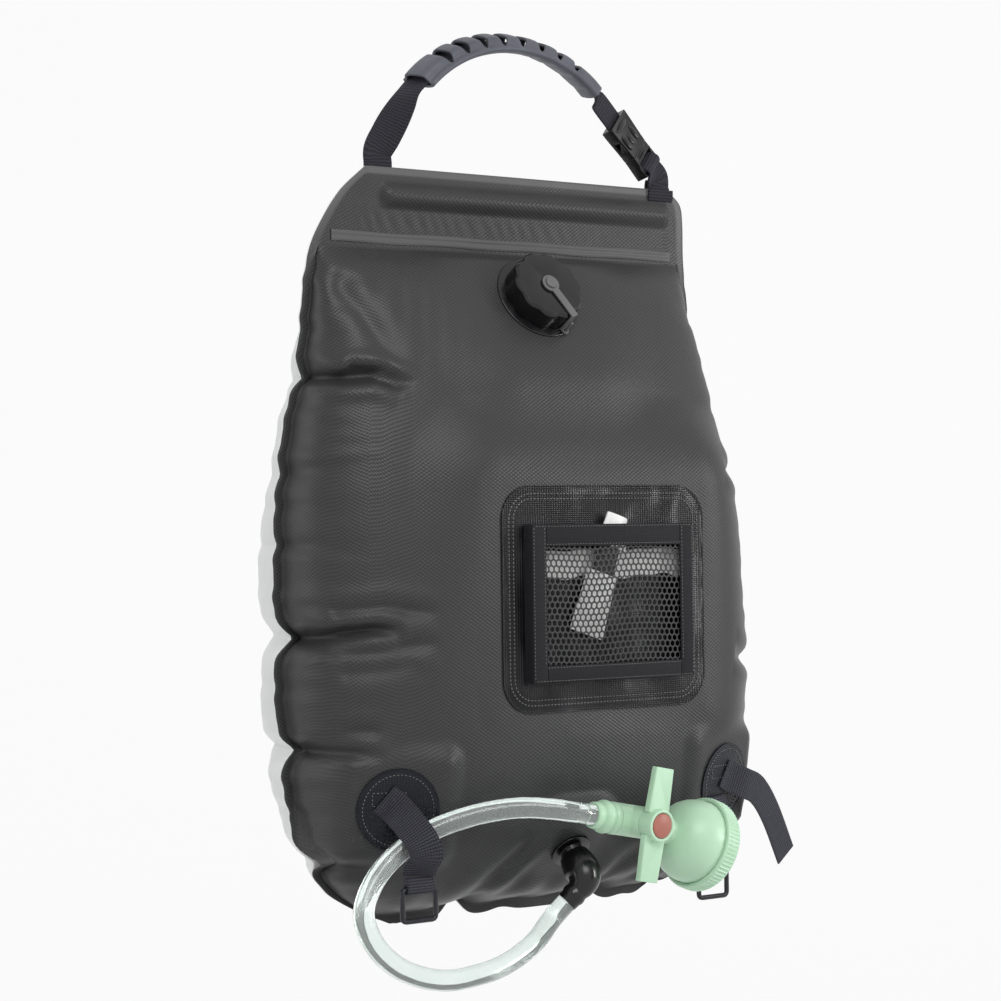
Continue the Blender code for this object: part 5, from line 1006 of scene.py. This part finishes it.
makeBuckleHalf("buckle_socket", "buckleSocket", "buckle_socket",
               ((0.0065, 0, 0.0026, 0.0105, 0.0014), (0.0195, 0.0085, 0.0072, 0.0028, 0.0016),
                (0.0195, -0.0085, 0.0072, 0.0028, 0.0016), (0.0205, 0, 0.0058, 0.0036, 0.0012)))
makeBuckleHalf("buckle_plug", "bucklePlug", "handle",
               ((0.0348, 0, 0.0009, 0.0095, 0.0012), (0.0372, 0, 0.0009, 0.0085, 0.0012)))
for side in ("Left", "Right"):
    softCopy("buckle_prong_" + side.lower(), buckleGloss, "handle", 0.0004, name="prong" + side)
print("handle made")

# Header: the rod in its tunnel and the double weld line below it

finishNode("header_rod", rodPlastic)
strip = {"columns": 220, "rows": 14, "wall": 0.0003}


def makeWeldStrip():
    low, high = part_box("weld_strip")
    columns, rows = strip["columns"], strip["rows"]
    x = np.linspace(low[0], high[0], columns + 1)[None, :]
    up = np.linspace(1, -1, rows + 1)[:, None]
    middle, half = (low[2] + high[2]) / 2, (high[2] - low[2]) / 2
    ends = inShare(np.minimum(x - low[0], high[0] - x) / 0.006)
    ridges = hump((up - 0.52) / 0.3) + hump((up + 0.52) / 0.3)
    nips = 0.25 * np.cos(x * 2 * math.pi / 0.0035) * hump(ends)
    stand = high[1] - low[1] - strip["wall"]
    y = high[1] - strip["wall"] - stand * ridges * (0.35 + 0.65 * ends) * (1 + 0.2 * nips)
    places = np.stack([x + 0 * up, y, middle + half * up + 0.0004 * np.sin(x * 70) * np.abs(up)], axis=2)
    mesh = sheetMesh(places)
    piece = keep(mesh, "weldStrip", weldedBand, 180, recalc=False)
    thicken(piece, strip["wall"], -1)
    standFor(piece, "bag", "weld_strip")


makeWeldStrip()

# Filler neck, screw cap and its tether

softCopy("filler_neck", blackGloss, "bag", 0.0006, 3)
softCopy("tether_post", tetherGrey, "bag", 0.0003)
softCopy("cap_tether", tetherGrey, "tether", 0.0003)
softCopy("filler_cap", blackGloss, "cap", 0.001, 3)
softCopy("tether_rivet", tetherGrey, "cap", 0.0004)
finishNode("cap_seal", sealRubber)
print("header and filler made")

# Mesh pocket on its sewn patch, with the small tube stowed in it

pocketSeat = seatAt((0.027, -0.08569, -0.4435), (1, 0, 0), (0, 0, 1), (0, -1, 0))
# rims are (width, sink) from the edge inwards, and stitches are (height, pitch, length, thickness)
patch = {"width": 0.195, "height": 0.177, "corner": 0.027, "low": 0.0003, "high": 0.0015,
         "rim": ((0.0008, 0.0), (0.0022, -0.0003), (0.0006, 0.0002)), "seams": (0.0065, 0.0105),
         "stitch": (0.0016, 0.0031, 0.0022, 0.00085)}
# the tapes' seam lines, each from one (across, up) to another
tapes = {"stitch": (0.0141, 0.0028, 0.0019, 0.0005), "seams": (
    ((-0.0762, -0.0615), (-0.0762, 0.056)), ((-0.0662, -0.05), (-0.0662, 0.056)),
    ((0.0762, -0.0615), (0.0762, 0.056)), ((0.0662, -0.05), (0.0662, 0.056)),
    ((-0.075, -0.0627), (0.075, -0.0627)), ((-0.065, -0.0525), (0.065, -0.0525)),
    ((-0.075, 0.0565), (0.075, 0.0565)), ((-0.065, 0.0427), (0.065, 0.0427)))}


def plateMesh(outline, low, high, seat, steps):
    # a sewn-on patch: its outline raised, with a pressed rim and a fine field to carry reflections
    mesh = bmesh.new()
    face = mesh.faces.new([mesh.verts.new((x, y, low)) for x, y in outline])
    top = vertsIn(bmesh.ops.extrude_face_region(mesh, geom=[face]))
    bmesh.ops.translate(mesh, vec=(0, 0, high - low), verts=top)
    bmesh.ops.recalc_face_normals(mesh, faces=mesh.faces)
    mesh.normal_update()
    cap = [face for face in mesh.faces if face.normal.z > 0.9]
    for width, sink in steps:
        bmesh.ops.inset_region(mesh, faces=cap, thickness=width, depth=sink, use_even_offset=True)
    bmesh.ops.transform(mesh, matrix=seat, verts=mesh.verts)
    mapBySide(mesh, seat)
    return mesh


def makePocketPatch():
    width, height, corner = patch["width"], patch["height"], patch["corner"]
    mesh = plateMesh(roundedOutline(width, height, corner, 10), patch["low"], patch["high"], pocketSeat,
                     patch["rim"])
    standFor(keep(mesh, "pocketPatch", patchGloss, 30), "bag", "pocket_patch")
    sewOn("pocketStitches", pocketSeat, patch["stitch"], [
        roundedOutline(width - 2 * inset, height - 2 * inset, corner - inset, 8) for inset in patch["seams"]])


def makeTapes():
    for node in ("pocket_side_left", "pocket_side_right", "pocket_bottom_tape", "pocket_hem"):
        softCopy(node, tapeWeave, "bag", 0.0004)
    sewOn("tapeStitches", pocketSeat, tapes["stitch"], tapes["seams"], closed=False)


net = {"columns": 27, "rows": 21, "strand": 0.0006, "thickness": 0.0006, "sag": 0.0012, "spread": 0.03}


def makeNet():
    # one ring of six sides, repeated as a honeycomb
    low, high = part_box("pocket_net")
    pitch = (high[0] - low[0]) / net["columns"]
    rise = (high[2] - low[2]) / (net["rows"] - 0.2)
    radius = pitch / math.sqrt(3)
    mesh = bmesh.new()
    bmesh.ops.create_circle(mesh, cap_ends=True, segments=6, radius=radius)
    if max(vert.co.x for vert in mesh.verts) > radius * 0.95:
        bmesh.ops.rotate(mesh, verts=mesh.verts, cent=(0, 0, 0), matrix=Matrix.Rotation(math.pi / 6, 3, "Z"))
    hexagon = mesh.faces[:]
    bmesh.ops.inset_individual(mesh, faces=hexagon, thickness=net["strand"], use_even_offset=True)
    bmesh.ops.delete(mesh, geom=hexagon, context="FACES_ONLY")
    cell = mesh.verts[:] + mesh.edges[:] + mesh.faces[:]
    squash = rise / (radius * 1.5)
    middle = (Vector(low) + Vector(high)) / 2
    for row in range(net["rows"]):
        for column in range(net["columns"] - row % 2):
            if row == column == 0:
                continue
            bmesh.ops.translate(mesh, verts=vertsIn(bmesh.ops.duplicate(mesh, geom=cell)),
                                vec=((column + 0.5 * (row % 2)) * pitch, row * radius * 1.5, 0))
    bmesh.ops.translate(mesh, verts=mesh.verts, vec=(-(net["columns"] - 1) / 2 * pitch,
                                                     -(net["rows"] - 1) / 2 * radius * 1.5, 0))
    bmesh.ops.remove_doubles(mesh, verts=mesh.verts, dist=0.00003)
    for vert in mesh.verts:
        x, up = vert.co.x, vert.co.y * squash
        # the mesh stands out over the tube behind it
        sag = net["sag"] * math.exp(-(x / net["spread"]) ** 2 - (up / net["spread"]) ** 2)
        vert.co = (middle.x + x * 0.985 + 0.0006 * math.sin(up * 120), middle.y - sag,
                   middle.z + up * 0.985 + 0.0007 * math.sin(x * 70))
    area = areaOf(mesh)
    piece = keep(mesh, "pocketNet", netCord, 180)
    thicken(piece, net["thickness"])
    standFor(piece, "bag", "pocket_net")


band = {"columns": 120, "rows": 16, "margin": 0.0015, "thickness": 0.0006}


def makeBand():
    # the pale closure strip, with a wavy hem
    low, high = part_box("pocket_band")
    columns, rows = band["columns"], band["rows"]
    x = np.linspace(low[0], high[0], columns + 1)[None, :]
    down = np.linspace(0, 1, rows + 1)[:, None]
    hem = 0.0012 * np.sin(x * 105) + 0.0009 * np.sin(x * 230 + 1)
    z = high[2] - band["margin"] - (high[2] - low[2] - 2 * band["margin"]) * down + hem * (0.4 + 0.6 * down)
    middle = (low[1] + high[1]) / 2
    y = middle + 0.0004 * np.sin(x * 190) * down + 0.0002 * np.cos(x * 420 + down * 3)
    places = np.stack([x + 0 * down, y, z], axis=2)
    mesh = sheetMesh(places)
    area = areaOf(mesh)
    piece = keep(mesh, "pocketBand", whiteCloth, 180, recalc=False)
    thicken(piece, band["thickness"])
    standFor(piece, "bag", "pocket_band")


makePocketPatch()
makeTapes()
makeNet()
makeBand()
softCopy("stowed_tube", whitePlastic, "stowed_item", 0.0022, 4, 20)
softCopy("stowed_tube_neck", sealRubber, "stowed_item", 0.0008, 3, name="tubeNeck")
softCopy("stowed_tube_cap", whitePlastic, "stowed_item", 0.0016, 3, name="tubeCap")
print("pocket made")

# Strap anchors: sewn patches, webbing straps, loops and rings

anchors = {
    "left": seatAt((-0.15538, -0.06965, -0.5987), (0.94693, -0.32143, 0), (-0.05341, -0.15736, 0.9861),
                   (-0.31696, -0.93377, -0.16617)),
    "right": seatAt((0.1554, -0.06916, -0.59868), (0.94244, 0.33438, 0), (0.05053, -0.14243, 0.98851),
                    (0.33054, -0.93161, -0.15113))}
disc = {"radius": 0.032, "low": 0.0003, "high": 0.0015, "seam": 0.0275,
        "rim": ((0.0008, 0.0), (0.0016, -0.0003), (0.0006, 0.0002)),
        "box": ((-0.02, 0.004), (0.006, 0.004), (0.006, 0.014), (-0.02, 0.014)),
        "stitch": (0.0017, 0.003, 0.002, 0.0006)}
# routes of (across, up, out) from each anchor's middle
strapRoutes = {
    "left_hose_strap": ("left", ((-0.01125, 0.01, 0.0036), (-0.0025, 0.0025, 0.00385),
                                 (0.005, -0.0055, 0.0176), (0.0125, -0.01625, 0.0321),
                                 (0.0155, -0.0275, 0.0326), (0.013, -0.03625, 0.02635),
                                 (0.0125, -0.045, 0.02135))),
    "right_hose_strap": ("right", ((-0.0025, 0.0075, 0.0026), (0.005, 0.00375, 0.0036),
                                   (0.0175, -0.00125, 0.01135), (0.035, -0.00875, 0.01385),
                                   (0.056, -0.03, 0.0166), (0.08, -0.067, 0.0221))),
    "right_ring_strap": ("right", ((-0.0105, -0.01125, 0.0026), (-0.0105, -0.0225, 0.0051),
                                   (-0.0105, -0.0425, 0.0056), (-0.0105, -0.06125, 0.0051)))}


def makeAnchors():
    for side, seat in anchors.items():
        mesh = plateMesh(circlePoints(disc["radius"], 64), disc["low"], disc["high"], seat, disc["rim"])
        standFor(keep(mesh, side + "AnchorPatch", anchorGloss, 30), "bag", side + "_anchor_patch")
        sewOn(side + "AnchorStitches", seat, disc["stitch"], (disc["box"], circlePoints(disc["seam"], 48)))
        softCopy(side + "_ring_loop", anchorWeave, "bag", 0.0004)
        softCopy(side + "_ring", ringBlack, side + "_ring", 0.0005, 2, 24, 70)
    for node, (side, route) in strapRoutes.items():
        seat = anchors[side]
        out = seat.to_3x3() @ Vector((0, 0, 1))
        along = [Vector(ahead) - Vector(behind) for behind, ahead in zip(route, route[1:])]
        rows = []
        for index, point in enumerate(route):
            step = along[min(index, len(along) - 1)] + along[max(index - 1, 0)]
            step = (seat.to_3x3() @ step).normalized()
            facing = (out - step * out.dot(step)).normalized()
            rows.append((*(seat @ Vector(point)), *facing))
        standFor(tapePiece(node.replace("_", ""), rows, anchorWeave, 70), "bag", node)


makeAnchors()
print("anchors made")

# Outlet: flange, nut and the elbow down to the hose, its path as (place, radius)

elbow = {"sides": 40, "steps": 80, "path": (
    (0, -0.07746, -0.64639, 0.012), (0, -0.08192, -0.6504, 0.0134), (0, -0.08638, -0.65442, 0.0141),
    (-0.00023, -0.08904, -0.6571, 0.0142), (-0.00093, -0.09107, -0.6598, 0.0138),
    (-0.00209, -0.09247, -0.6625, 0.013), (-0.00372, -0.09324, -0.66522, 0.0118),
    (-0.00582, -0.09339, -0.66796, 0.0104), (-0.00837, -0.0929, -0.6707, 0.0089),
    (-0.01, -0.0925, -0.6723, 0.0093), (-0.0118, -0.0919, -0.6741, 0.0095),
    (-0.0135, -0.0914, -0.6758, 0.0087), (-0.01675, -0.09051, -0.67896, 0.0083))}


def makeElbow():
    route, _ = smoothRoute(elbow["path"], elbow["steps"])
    mesh = bmesh.new()
    for edges in sweepTube(mesh, pathFrames(route[:, :3], route[:, 3]), elbow["sides"]):
        bmesh.ops.edgeloop_fill(mesh, edges=edges)
    standFor(keep(mesh, "outletElbow", blackGloss, 40), "bag", "outlet_elbow")


makeElbow()
softCopy("outlet_flange", blackGloss, "bag", 0.0004)
softCopy("outlet_nut", blackGloss, "bag", 0.0004)
finishNode("outlet_seal", sealRubber)
print("outlet made")

# Shower head

headAxis = seatAt((0.026, -0.119, -0.6165), (0.20094, 0, 0.9796), (0.09793, -0.99499, -0.02009),
                  (0.9747, 0.09997, -0.19994))


# the ferrule's (radius, height) outline: barbed end, two beads and the collar in the valve body
ferrule = (
    (0.0056, -0.0423), (0.0092, -0.0423), (0.0099, -0.0417), (0.0104, -0.04), (0.0105, -0.0378),
    (0.0101, -0.0362), (0.0098, -0.0354), (0.0106, -0.0346), (0.012, -0.0335), (0.0128, -0.032),
    (0.013, -0.0303), (0.0127, -0.0286), (0.012, -0.0272), (0.0114, -0.0262), (0.0112, -0.025),
    (0.0116, -0.0242), (0.0122, -0.0236), (0.0125, -0.0228), (0.0125, -0.0207), (0.0122, -0.0203),
    (0.0056, -0.0203))
standFor(keep(turnedMesh(ferrule, 64, headAxis), "hoseFerrule", mintPlastic, 32), "bag", "hose_ferrule")
softCopy("valve_body", mintPlastic, "bag", 0.0008, 3)
softCopy("head_dome", mintPlastic, "bag", 0.0008, 3)
domeSeat = seatAt((0.04549, -0.117, -0.6205), (-0.09793, 0.99499, 0.02009), (0.36715, 0.01736, 0.93),
                  (0.92499, 0.09845, -0.36701))
rose = {"ribs": 72, "rise": 0.0007, "grip": 0.0364, "from": 0.0525, "to": 0.0632, "profile": (
    (0.0338, 0.0507), (0.0354, 0.0507), (0.0362, 0.0511), (0.0365, 0.0519), (0.0365, 0.0527), (0.0365, 0.054),
    (0.0365, 0.058), (0.0365, 0.0625), (0.0365, 0.0634), (0.0362, 0.0642), (0.0355, 0.0647), (0.0305, 0.0647),
    (0.0293, 0.0644), (0.029, 0.0638), (0.029, 0.0629), (0.0338, 0.0629))}


def makeRose():
    mesh = turnedMesh(rose["profile"], 4 * rose["ribs"], Matrix())
    for vert in mesh.verts:
        radius = vert.co.xy.length
        if radius > rose["grip"] and rose["from"] < vert.co.z < rose["to"]:
            wave = max(math.cos(rose["ribs"] * math.atan2(vert.co.y, vert.co.x)), 0)
            vert.co.xy *= 1 + rose["rise"] * wave / radius
    bmesh.ops.transform(mesh, matrix=domeSeat, verts=mesh.verts)
    standFor(keep(mesh, "roseRing", mintPlastic, 25), "rose", "rose_ring")


makeRose()
softCopy("valve_handle", mintPlastic, "valve_core", 0.0012, 4)
softCopy("valve_button", salmonPlastic, "valve_core", 0.0005, 3)
softCopy("spray_plate", whitePlastic, "spray_insert", 0.0003, 1, 28, 1)
finishNode("valve_plug", whitePlastic)
finishNode("rose_seal", sealRubber)
print("head made")

# Floor, backdrop, light

stage = {"floor": -1.06, "front": -2.6, "back": 1.5, "bend": 0.9, "top": 2.2, "half": 3.2, "steps": 16}
# (azimuth from the camera's, elevation, distance, size, power)
lights = {"mainLight": (18, 38, 2.5, (1.5, 1.1), 30), "glareLight": (80, 6, 2.2, (0.3, 0.8), 15),
          "sideLight": (-75, 10, 2.4, (1.0, 1.6), 11)}


def makeBackdrop():
    # floor and wall in one sweep, square to the camera
    rows = [(stage["front"], stage["floor"]), (0.0, stage["floor"]), (stage["back"], stage["floor"])]
    for step in range(1, stage["steps"] + 1):
        angle = math.pi / 2 * step / stage["steps"]
        rows.append((stage["back"] + stage["bend"] * math.sin(angle),
                     stage["floor"] + stage["bend"] * (1 - math.cos(angle))))
    rows.append((stage["back"] + stage["bend"], stage["top"]))
    turn = Matrix.Rotation(math.radians(camera["azimuth"]), 3, "Z")
    places = [[turn @ Vector((x, y, z)) for x in np.linspace(-stage["half"], stage["half"], 9)]
              for y, z in rows]
    mesh = sheetMesh(places)
    material, tree, shader = startMaterial("paleBackdrop", 0.1)
    setInputs(tree, shader, {"Base Color": (0.86, 0.86, 0.86, 1), "Roughness": 0.9})
    glow = addNode(tree, "Emission").outputs[0]
    seen = calc(tree, "MULTIPLY", seenStraight(tree), 0.9)
    mixed = addNode(tree, "MixShader", {0: seen, 1: shader.outputs[0], 2: glow}).outputs[0]
    setInputs(tree, tree.nodes["Material Output"], {"Surface": mixed})
    keep(mesh, "backdrop", material, 180)


def softLight(name, azimuth, elevation, distance, size, power):
    # an area light aimed at the bag's middle from that side and height
    way = wayTo(math.radians(camera["azimuth"] + azimuth), math.radians(elevation))
    data = bpy.data.lights.new(name, "AREA")
    data.shape = "RECTANGLE"
    data.size, data.size_y = size
    data.energy = power
    turn = way.to_track_quat("Z", "Y").to_matrix().to_4x4()
    addToScene(name, data).matrix_world = Matrix.Translation(Vector((0, 0, -0.38)) + way * distance) @ turn


def makeLight():
    # a dim room that turns white where the camera sees it
    world = bpy.data.worlds.new("studio")
    bpy.context.scene.world = world
    world.use_nodes = True
    tree = world.node_tree
    level = calc(tree, "MULTIPLY_ADD", seenStraight(tree), 0.55, 0.45)
    setInputs(tree, tree.nodes["Background"], {"Strength": level, "Color": (1, 1, 1, 1)})
    for name, values in lights.items():
        softLight(name, *values)
    bpy.context.scene.view_settings.view_transform = "Standard"


makeBackdrop()
makeLight()
print("stage and light set")
